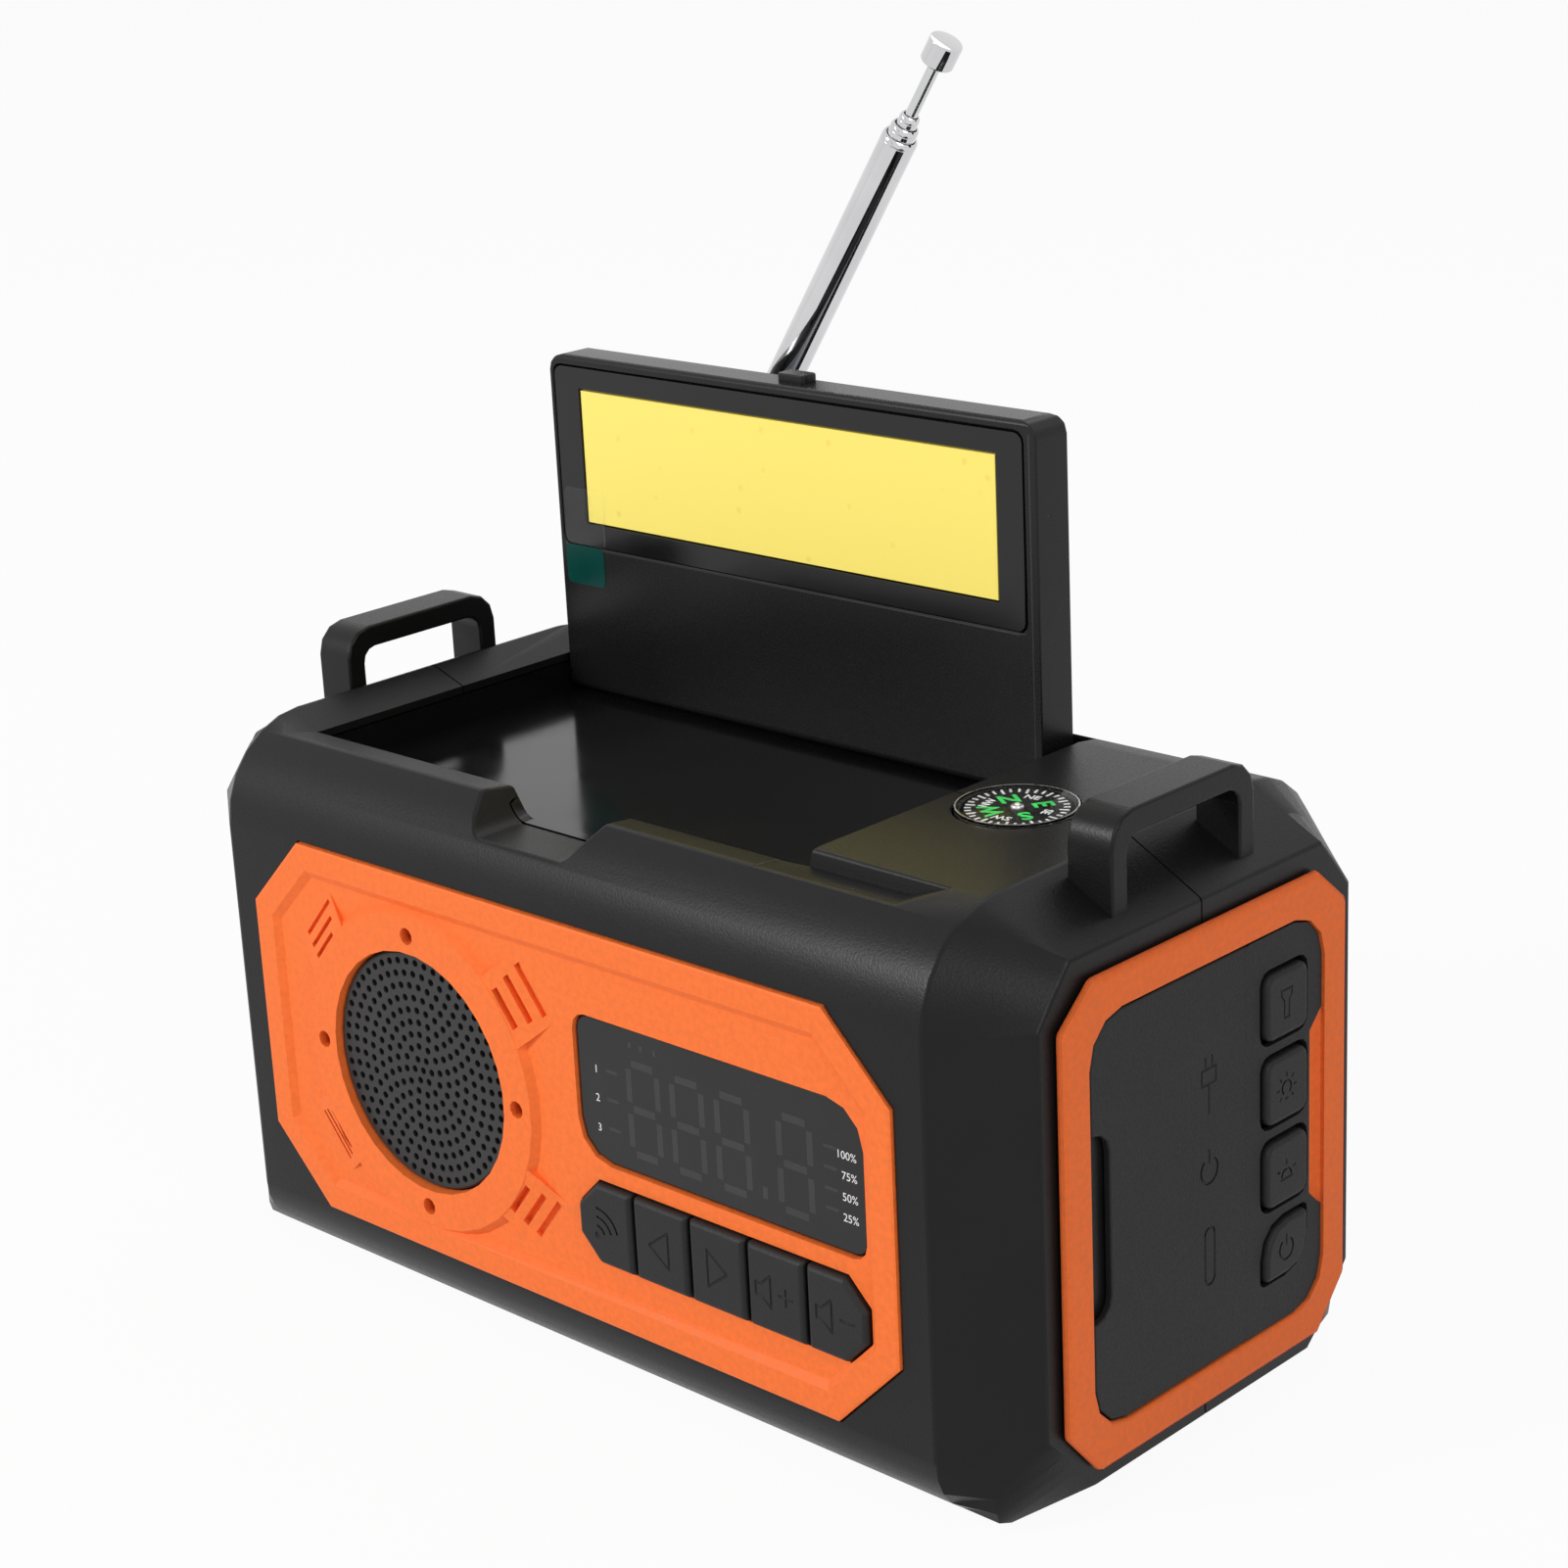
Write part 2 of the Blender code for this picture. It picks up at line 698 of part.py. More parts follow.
def panel_box():
    half = REAR - END_INSET_SIDE - RING_INSET_SIDE - RING_BAND
    low = END_INSET_BASE + RING_INSET_BASE + RING_BAND
    return half, low, TOP - END_INSET_TOP - RING_INSET_TOP - RING_BAND


def panel_outline(margin=0.0):
    """The rubber panel's outline, with its rear edge stepped in beside the buttons."""
    half, low, high = panel_box()
    step = STEP_SPAN / 2
    return inset(fillet([
        (-half, low, PANEL_R),
        (half, low, PANEL_R),
        (half, RING_MID_Z - step - STRIP_STEP, 0),
        (half - STRIP_STEP, RING_MID_Z - step, 0),
        (half - STRIP_STEP, RING_MID_Z + step, 0),
        (half, RING_MID_Z + step + STRIP_STEP, 0),
        (half, high, PANEL_R),
        (-half, high, PANEL_R),
    ]), margin)


def port_box():
    """The opening in the right end wall: y range and z range."""
    half, low, high = panel_box()
    return -half + PORT_MARGIN, half - PORT_MARGIN + 1, low + PORT_MARGIN, high - PORT_MARGIN


def compass_place():
    return HALF - COMPASS_INSET, 0.0


def case_shells():
    """Front and rear shells: the outer form hollowed, opened and split on its middle plane, with loops."""
    form = case_block("case form", 0, 0)
    hollow = case_hollow()
    opening, strip = tray_cutters()
    y0, y1, z0, z1 = port_box()
    recess = prism("plate recess", plate_outline(-GAP), "Y", FRONT - 5, SEAT)
    speaker_hole = rod(
        "speaker hole", SPEAKER_R - SPEAKER_SEAT, "Y", SPEAKER, FRONT, INNER_FRONT + 1, steps=24
    )
    display_hole = prism("display hole", display_outline(DISPLAY_RIM), "Y", FRONT, INNER_FRONT + 1)
    key_hole = prism("key hole", key_row_outline(-GAP), "Y", FRONT, INNER_FRONT + 1)
    port_hole = prism("port hole", rectangle(y0, y1, z0, z1, 2.0), "X", END - WALL - 2, END + 2)
    torch_hole = rod("torch hole", TORCH_R + GAP, "X", (0, RING_MID_Z), -END - 2, -END + WALL + 2, steps=24)
    compass_hole = rod("compass hole", COMPASS_R + GAP, "Z", compass_place(), CEILING - 2, TOP + 2, steps=24)
    dish = rod("crank dish", DISH_R, "Y", (0, CRANK_Z), DISH_FLOOR, REAR + 5, steps=32)
    bore = rod("shaft bore", SHAFT_R + GAP, "Y", (0, CRANK_Z), DISH_BACK - 1, DISH_FLOOR + 1)
    ledge = box(
        "aerial ledge",
        (AERIAL_X - FORK_R - 4 * GAP, LEDGE_Y, LEDGE_Z),
        (AERIAL_X + AERIAL_ROD_END + KNOB_LENGTH + 4 * GAP, REAR + 5, TOP + LOOP_RISE),
    )
    pocket = box(
        "aerial pocket",
        (AERIAL_X - FORK_R - GAP, LEDGE_Y, LEDGE_Z - POCKET_DEPTH),
        (AERIAL_X + FORK_R + GAP, AERIAL_Y + FORK_HALF + GAP, LEDGE_Z + 1),
    )
    front = [recess, speaker_hole, display_hole, key_hole, notch_cutter()]
    rear = [dish, bore, ledge, pocket]
    for i, place in enumerate(post_places()):
        rear.append(rod(f"head bore {i}", SCREW_HEAD_R + RUN_GAP, "Y", place, POST_FLOOR, REAR + 5, steps=12))
        rear.append(rod(f"shank bore {i}", SCREW_R + GAP, "Y", place, -1, POST_FLOOR + 1, steps=12))
        front.append(rod(f"pilot bore {i}", SCREW_R + GAP, "Y", place, -SCREW_REACH - 1, 1, steps=12))
    both = [opening, strip, port_hole, torch_hole, compass_hole]
    reach = 2 * BODY_LENGTH
    halves = (
        ("front_shell", front, (-reach, -reach, -reach), (reach, -GAP / 2, reach)),
        ("rear_shell", rear, (-reach, GAP / 2, -reach), (reach, reach, reach)),
    )
    for name, own, low, high in halves:
        shell = bpy.data.objects.new(name, form.data.copy())
        bpy.context.scene.collection.objects.link(shell)
        shell.data.materials.append(material("black_plastic"))
        cut(shell, hollow)
        boolean(shell, box(f"{name} side", low, high), "INTERSECT")
        cut(shell, *both, *own)
    strap_loop("strap_loop_left", -1)
    strap_loop("strap_loop_right", 1)


def ear_point(angle, out, across):
    """A point in the plate's plane, from its distance along an ear's direction and its place across it."""
    c, s = math.cos(math.radians(angle)), math.sin(math.radians(angle))
    return SPEAKER[0] + out * c - across * s, SPEAKER[1] + out * s + across * c


def speaker_ear(name):
    """A ramp that falls from the speaker ring to the plate's field, and the slots in it."""
    angle, places, halves, shifts = EARS[name]
    grown = SPEAKER_R - 20.4
    field = PLATE_BACK - PLATE_FIELD
    wide = halves[-1] + 1.7
    ends = (
        (SPEAKER_R + SPEAKER_RING - 1.1, shifts[0], FRONT - PLATE_PROUD + 0.15),
        (places[-1] + grown + 2.6, shifts[1], field + 0.2),
    )
    ramp = loft(name, [
        [
            at("Y", *ear_point(angle, out, shift + way * wide), s)
            for way, s in ((-1, PLATE_BACK - 0.4), (1, PLATE_BACK - 0.4), (1, top), (-1, top))
        ]
        for out, shift, top in ends
    ])
    half_slot = SLOT_SHARE * (places[1] - places[0]) / 2
    slots = []
    for i, (out, half) in enumerate(zip(places, halves)):
        shift = shifts[0] + (shifts[1] - shifts[0]) * i / (len(places) - 1)
        corners = [(-half_slot, -half), (half_slot, -half), (half_slot, half), (-half_slot, half)]
        outline = [ear_point(angle, out + grown + a, shift + b) for a, b in corners]
        slots.append(prism(f"{name} slot {i}", outline, "Y", FRONT - 2, PLATE_BACK - SLOT_FLOOR))
    return ramp, slots


def front_plate():
    """The orange fascia: a raised border round a lower field, the speaker ring and its four slotted ears."""
    face = FRONT - PLATE_PROUD
    field = PLATE_BACK - PLATE_FIELD
    plate = capped("front_plate", plate_outline(), "Y", PLATE_BACK, face, 0.4, "orange_plastic")
    cut(plate, loft("plate field", [
        [at("Y", a, b, s) for a, b in plate_outline(m)]
        for m, s in ((BORDER + BORDER_SLOPE, field), (BORDER, face - 0.2))
    ]))
    outer = SPEAKER_R + SPEAKER_RING
    mid = PLATE_BACK - PLATE_FIELD / 2
    join(plate, turned("speaker ring", [
        (SPEAKER_R - 1, mid), (outer + RING_SLOPE, mid), (outer, face + 0.1), (SPEAKER_R - 1, face + 0.1),
    ], "Y", SPEAKER, steps=32))
    slots = []
    for name in EARS:
        ramp, own = speaker_ear(name)
        join(plate, ramp)
        slots += own
    cut(plate, *slots)
    cut(plate, prism("window seat", display_outline(-GAP), "Y", FRONT - 5, SEAT + 1))
    cut(plate, prism("key seat", key_row_outline(-GAP), "Y", FRONT - 5, SEAT + 1))
    for i in range(4):
        reach = SPEAKER_R + 2.9
        centre = (
            SPEAKER[0] + reach * math.cos(i * math.pi / 2), SPEAKER[1] + reach * math.sin(i * math.pi / 2)
        )
        cut(plate, rod(f"ring mark {i}", MARK_R, "Y", centre, FRONT - 2, SEAT + 1, steps=10))
    cut(plate, rod("grille seat", SPEAKER_R, "Y", SPEAKER, FRONT - 5, SEAT + 1, steps=32))


def speaker():
    """Perforated grille, basket with its magnet, and the cone."""
    grille = rod(
        "speaker_grille", SPEAKER_R - GAP, "Y", SPEAKER, PLATE_BACK, PLATE_BACK - GRILLE_THICK,
        "black_plastic", 32,
    )
    spacing = (SPEAKER_R - 3.0) / GRILLE_RINGS
    holes = bmesh.new()
    for ring in range(GRILLE_RINGS + 1):
        for k in range(max(1, 6 * ring)):
            angle = 2 * math.pi * k / max(1, 6 * ring)
            centre = (
                SPEAKER[0] + ring * spacing * math.cos(angle), SPEAKER[1] + ring * spacing * math.sin(angle)
            )
            rows = [
                [holes.verts.new(at("Y", a, b, s)) for a, b in circle(GRILLE_HOLE_R, 6, centre)]
                for s in (PLATE_BACK + 1, PLATE_BACK - GRILLE_THICK - 1)
            ]
            holes.faces.new(rows[0])
            holes.faces.new(rows[1])
            for i in range(6):
                j = (i + 1) % 6
                holes.faces.new((rows[0][i], rows[0][j], rows[1][j], rows[1][i]))
    cut(grille, solid("grille holes", holes))
    front = INNER_FRONT + GAP
    rim = SPEAKER_R - SPEAKER_SEAT
    magnet = front + SPEAKER_DEPTH - MAGNET_LENGTH
    turned("speaker_frame", [
        (0, magnet + 3),
        (6, magnet + 3),
        (rim - 6, magnet - 1),
        (rim, front),
        (SPEAKER_R + SPEAKER_FLANGE, front),
        (SPEAKER_R + SPEAKER_FLANGE, front + 1.5),
        (SPEAKER_R - 0.5, front + 2.2),
        (MAGNET_R, magnet - 1),
        (MAGNET_R, front + SPEAKER_DEPTH),
        (0, front + SPEAKER_DEPTH),
    ], "Y", SPEAKER, "steel")
    turned("speaker_cone", [
        (0, magnet - 4.5),
        (5.2, magnet - 3.4),
        (rim - 0.8, front - 0.2),
        (rim - 0.8, front + 0.5),
        (5.0, magnet - 2.4),
        (0, magnet - 2.2),
    ], "Y", SPEAKER, "paper_cone")


def display():
    """The smoked window in the plate and the board behind it, which also backs the front keys."""
    capped(
        "display_window", display_outline(), "Y", PLATE_BACK, PLATE_BACK - DISPLAY_THICK, 0.2, "smoked_window"
    )
    left, right, low, high = key_span()
    board_face = INNER_FRONT + GAP + MODULE_THICK
    right = min(right, POST_X - POST_R - GAP)
    board = box(
        "display_board",
        (left - 1, board_face, low - 1),
        (right, board_face + BOARD_THICK, MID_Z + DISPLAY_RISE + DISPLAY_HEIGHT / 2 + 1),
        "board_green",
    )
    module_left = PLATE_HALF - DISPLAY_INSET - DISPLAY_LENGTH + 1
    join(board, box(
        "display module",
        (module_left, INNER_FRONT + GAP, high + 2),
        (right - 0.5, board_face + 0.5, MID_Z + DISPLAY_RISE + DISPLAY_HEIGHT / 2 - 0.5),
    ))


def front_keys():
    """A row of rubber keys; the end ones have cut corners."""
    left, right, low, high = key_span()
    width = KEY_ROW_LENGTH / len(KEY_NAMES)
    back = INNER_FRONT + GAP + MODULE_THICK - KEY_TRAVEL - 0.1
    for i, name in enumerate(KEY_NAMES):
        a0 = left + i * width + (GAP if i else 0)
        a1 = left + (i + 1) * width - (GAP if i < len(KEY_NAMES) - 1 else 0)
        if i == 0:
            outline = [
                (a0 + KEY_CUT, low), (a1, low), (a1, high),
                (a0 + KEY_CUT, high), (a0, high - KEY_CUT), (a0, low + KEY_CUT),
            ]
        elif i == len(KEY_NAMES) - 1:
            outline = [
                (a0, low), (a1 - KEY_CUT, low), (a1, low + KEY_CUT),
                (a1, high - KEY_CUT), (a1 - KEY_CUT, high), (a0, high),
            ]
        else:
            outline = rectangle(a0, a1, low, high)
        capped(
            name, outline, "Y", back, FRONT - KEY_PROUD, EDGE, "black_rubber",
            ((a0 + a1) / 2, FRONT, (low + high) / 2),
        )


def end_ring(name, side):
    ring = capped(
        name, ring_outline(), "X", side * (END + GAP), side * (END + GAP + RING_PROUD), EDGE, "orange_plastic"
    )
    return ring


def split_panel():
    """The panel outline's flap part, with a cut for a thumb, and its strip part behind the flap's fold."""
    half, low, high = panel_box()
    fold = half - STRIP_WIDTH
    step = STEP_SPAN / 2
    thumb = THUMB_SPAN / 2
    flap = fillet([
        (-half, low, PANEL_R),
        (fold - GAP, low, 0),
        (fold - GAP, high, 0),
        (-half, high, PANEL_R),
        (-half, RING_MID_Z + thumb, 0),
        (-half + THUMB_DEPTH, RING_MID_Z + thumb, 3.2),
        (-half + THUMB_DEPTH, RING_MID_Z - thumb, 3.2),
        (-half, RING_MID_Z - thumb, 0),
    ])
    strip = fillet([
        (fold + GAP, low, 0),
        (half, low, PANEL_R),
        (half, RING_MID_Z - step - STRIP_STEP, 0),
        (half - STRIP_STEP, RING_MID_Z - step, 0),
        (half - STRIP_STEP, RING_MID_Z + step, 0),
        (half, RING_MID_Z + step + STRIP_STEP, 0),
        (half, high, PANEL_R),
        (fold + GAP, high, 0),
    ])
    return flap, strip, fold


def button_outline(index, margin=0.0):
    """Three rounded squares and, lowest, the leaf-shaped power button."""
    half, low, high = panel_box()
    right = half - BUTTON_EDGE
    left = right - BUTTON_SIZE
    top = RING_MID_Z + 1.5 * BUTTON_PITCH + BUTTON_SIZE / 2 - index * BUTTON_PITCH
    base = top - BUTTON_SIZE
    if index < 3:
        corners = [
            (left, base, BUTTON_R), (right, base, BUTTON_R), (right, top, BUTTON_R), (left, top, BUTTON_R)
        ]
    else:
        base += 1.6
        corners = [(left, base, 1.0), (right, base, 5.5), (right, top, 1.0), (left, top, 5.5)]
    return inset(fillet(corners), margin)


def right_end():
    """Ring, rubber flap and keypad, their buttons, and the sockets behind the flap."""
    ring = end_ring("right_ring", 1)
    cut(ring, prism("right ring opening", panel_outline(-GAP), "X", END - 1, END + 10))
    flap_outline, strip_outline, fold = split_panel()
    hinge = (PANEL_FACE, fold, RING_MID_Z)
    flap = prism("side_flap", flap_outline, "X", END + GAP, PANEL_FACE, "black_rubber", hinge)
    y0, y1, z0, z1 = port_box()
    play = 3 * GAP
    join(flap, prism(
        "flap plug",
        rectangle(y0 + play, fold - 2 * play, z0 + play, z1 - play, 1.5),
        "X", END - PLUG_THICK, END + GAP + 0.4,
    ))
    strip = prism("side_keypad", strip_outline, "X", END + GAP, PANEL_FACE, "black_rubber")
    panel_front = END - WALL - GAP
    names = ("torch_button", "lamp_button", "alarm_button", "power_button")
    for i, name in enumerate(names):
        outline = button_outline(i)
        cut(strip, prism(f"{name} hole", inset(outline, -GAP), "X", END - 1, END + 10))
        middle = [sum(p[k] for p in outline) / len(outline) for k in (0, 1)]
        capped(
            name, outline, "X", panel_front + BUTTON_TRAVEL + 0.1, PANEL_FACE + BUTTON_PROUD, 0.5,
            "black_rubber", (PANEL_FACE, middle[0], middle[1]),
        )
    port = prism(
        "port_panel",
        rectangle(y0 - PORT_LAP, y1 + PORT_LAP, z0 - PORT_LAP, z1 + PORT_LAP, 2.0),
        "X", panel_front - PORT_PANEL_THICK, panel_front, "black_plastic",
    )
    sockets = (("usb_a_socket", USB_A, USB_A_RISE), ("type_c_socket", TYPE_C, TYPE_C_RISE))
    back = panel_front - SOCKET_LENGTH
    for name, (wide, tall), rise in sockets:
        z = RING_MID_Z + rise
        outline = rectangle(-wide / 2, wide / 2, z - tall / 2, z + tall / 2, wide / 6)
        cut(port, prism(f"{name} cut-out", inset(outline, -GAP), "X", back, END))
        shell = prism(name, outline, "X", back, panel_front - 0.2, "steel")
        a, b = wide / 2 - SOCKET_WALL, tall / 2 - SOCKET_WALL
        mouth = prism(f"{name} mouth", rectangle(-a, a, z - b, z + b), "X", back + 2, END)
        tongue = rectangle(-wide / 10, wide / 10, z - b + 0.8, z + b - 0.8)
        cut(mouth, prism(f"{name} tongue", tongue, "X", back, panel_front - 2))
        cut(shell, mouth)
    box("side_board", (back - GAP - BOARD_THICK, y0, z0), (back - GAP, y1, z1), "board_green")


def left_end():
    """Ring, panel and torch: lens, reflector cup and the board that carries the lamp."""
    ring = end_ring("left_ring", -1)
    half, low, high = panel_box()
    outline = rectangle(-half, half, low, high, PANEL_R)
    cut(ring, prism("left ring opening", inset(outline, -GAP), "X", -END + 1, -END - 10))
    centre = (0, RING_MID_Z)
    panel = capped("torch_panel", outline, "X", -END - GAP, -PANEL_FACE, 0.4, "black_plastic")
    cut(panel, rod("lens seat", TORCH_R, "X", centre, -END + 1, -END - 10, steps=32))
    turned("torch_lens", [
        (0, -END - GAP),
        (TORCH_R - GAP, -END - GAP),
        (TORCH_R - GAP, -PANEL_FACE),
        (TORCH_R * 0.6, -PANEL_FACE - 0.4),
        (0, -PANEL_FACE - 0.5),
    ], "X", centre, "clear", 32)
    mouth, throat = -END, -END + TORCH_DEPTH
    turned("torch_reflector", [
        (TORCH_R, mouth),
        (TORCH_R, mouth + WALL),
        (TORCH_R * 0.72 + TORCH_WALL, mouth + TORCH_DEPTH * 0.55),
        (LED_R + TORCH_WALL, throat),
        (LED_R, throat),
        (TORCH_R * 0.72, mouth + TORCH_DEPTH * 0.55),
        (TORCH_R - TORCH_WALL, mouth + WALL),
        (TORCH_R - TORCH_WALL, mouth),
    ], "X", centre, "reflector")
    turned("torch_led_board", [
        (0, throat - 2.0),
        (2.0, throat - 1.2),
        (2.0, throat + GAP),
        (LED_BOARD_R, throat + GAP),
        (LED_BOARD_R, throat + GAP + BOARD_THICK),
        (0, throat + GAP + BOARD_THICK),
    ], "X", centre, "nylon", 20)


def top_tray():
    """A pan hung under the deck; its open rear side closes against the ledge wall of the rear shell."""
    top = CEILING - GAP
    base = TRAY_FLOOR - TRAY_WALL
    tray = box(
        "top_tray",
        (TRAY_LEFT - TRAY_WALL, TRAY_FRONT - TRAY_WALL, base),
        (TRAY_RIGHT + TRAY_WALL, TRAY_REAR - GAP, top),
        "gloss_black",
    )
    cut(tray, box("tray space", (TRAY_LEFT, TRAY_FRONT, TRAY_FLOOR), (TRAY_RIGHT, TRAY_REAR + 5, top + 5)))
    for name, edge, way in (
        ("tray front edge", TRAY_FRONT - TRAY_WALL, 1), ("tray rear edge", TRAY_REAR - GAP, -1)
    ):
        slope = [
            (edge - way, top - 2.4), (edge + way * 1.9, top),
            (edge + way * 1.9, top + 1), (edge - way, top + 1),
        ]
        cut(tray, prism(name, slope, "X", -2 * HALF, 2 * HALF))
    cut(tray, bpy.data.objects["finger notch"])
    pin = rod(
        "tray pin bore", HINGE_PIN_R + GAP, "X", (HINGE_Y, HINGE_Z), TRAY_LEFT - 10, TRAY_RIGHT + 10, steps=12
    )
    cut(tray, pin)


def lid():
    """Lid standing open: frame with lamp and its window in front, solar panel behind, a finger tab on top."""
    axis = (0, HINGE_Y, HINGE_Z)
    end = HINGE_Z - HINGE_FROM_END
    side = fillet(
        [(LID_FACE, end, 1.8), (LID_BACK, end, 1.8), (LID_BACK, LID_TOP, 1.2), (LID_FACE, LID_TOP, 0.8)]
    )
    frame = prism("lid_frame", side, "X", LID_LEFT, LID_RIGHT, "black_plastic", axis)
    corner = rectangle(LID_LEFT, LID_RIGHT, end - 20, LID_TOP, LID_CORNER)
    boolean(frame, prism("lid corners", corner, "Y", LID_FACE - 5, LID_BACK + 5), "INTERSECT")
    tab_x = (LID_LEFT + LID_RIGHT) / 2 + TAB_SHIFT
    tab_y = HINGE_Y + GAP
    join(frame, prism(
        "lid tab",
        rectangle(tab_x - TAB[0] / 2, tab_x + TAB[0] / 2, tab_y, tab_y + TAB[1], 0.8),
        "Z", LID_TOP - 1, LID_TOP + TAB[2],
    ))
    left, right, top = LID_LEFT + WINDOW_MARGIN[0], LID_RIGHT - WINDOW_MARGIN[1], LID_TOP - WINDOW_MARGIN[2]
    window_outline = rectangle(left, right, top - WINDOW_HEIGHT, top, 1.5)
    lamp_outline = rectangle(
        LID_LEFT + LAMP_MARGIN[0],
        LID_RIGHT - LAMP_MARGIN[1],
        LID_TOP - LAMP_MARGIN[2] - LAMP_HEIGHT,
        LID_TOP - LAMP_MARGIN[2],
    )
    window_back = LID_FACE + WINDOW_THICK
    cut(frame, prism("window recess", inset(window_outline, -GAP), "Y", LID_FACE - 1, window_back + GAP))
    window = prism("lamp_window", window_outline, "Y", LID_FACE, window_back, "smoked_window", axis)
    cut(window, prism("lamp opening", inset(lamp_outline, -GAP), "Y", LID_FACE - 1, window_back + 1))
    prism("lamp_panel", lamp_outline, "Y", LID_FACE + 0.2, window_back, "lamp_yellow", axis)
    solar_outline = rectangle(
        LID_LEFT + SOLAR_MARGIN,
        LID_RIGHT - SOLAR_MARGIN,
        HINGE_Z + LID_THICK,
        LID_TOP - SOLAR_MARGIN,
        1.0,
    )
    cut(
        frame,
        prism("solar recess", inset(solar_outline, -GAP), "Y", LID_BACK - SOLAR_THICK - GAP, LID_BACK + 1),
    )
    prism("solar_panel", solar_outline, "Y", LID_BACK - SOLAR_THICK, LID_BACK, "solar_cell", axis)
    depth = 4.0
    for name, wall_x, lid_x, way in (
        ("lid_pin_left", TRAY_LEFT - TRAY_WALL, LID_LEFT, 1),
        ("lid_pin_right", TRAY_RIGHT + TRAY_WALL, LID_RIGHT, -1),
    ):
        cut(
            frame,
            rod(f"{name} bore", HINGE_PIN_R + GAP, "X", axis[1:], lid_x - way, lid_x + way * depth, steps=12),
        )
        rod(name, HINGE_PIN_R, "X", axis[1:], wall_x, lid_x + way * (depth - GAP), "steel", 12)


def compass():
    """Cup with a centre pin, a card that turns on it, and a clear dome."""
    centre = compass_place()
    top, base = TOP - GAP, TOP - COMPASS_DEPTH
    floor = base + COMPASS_WALL
    card = top - CARD_DROP
    turned("compass_cup", [
        (0, base),
        (COMPASS_R, base),
        (COMPASS_R, top),
        (COMPASS_R - COMPASS_WALL, top),
        (COMPASS_R - COMPASS_WALL, floor),
        (1.2, floor),
        (0.5, card - GAP),
        (0, card - GAP),
    ], "Z", centre, "black_plastic")
    inner = COMPASS_R - COMPASS_WALL - RUN_GAP
    turned("compass_card", [
        (0, card),
        (inner, card),
        (inner, card + CARD_THICK),
        (1.6, card + CARD_THICK),
        (0.6, card + 2 * CARD_THICK),
        (0, card + 2 * CARD_THICK),
    ], "Z", centre, "black_plastic", 24, (*centre, card))
    rim = top + GAP
    turned("compass_dome", [
        (0, rim + DOME_RISE - 0.6),
        (COMPASS_R * 0.6, rim + DOME_RISE * 0.62 - 0.6),
        (COMPASS_R - 1.0, rim),
        (COMPASS_R, rim),
        (COMPASS_R, rim + 0.4),
        (COMPASS_R * 0.6, rim + DOME_RISE * 0.62),
        (0, rim + DOME_RISE),
    ], "Z", centre, "clear")


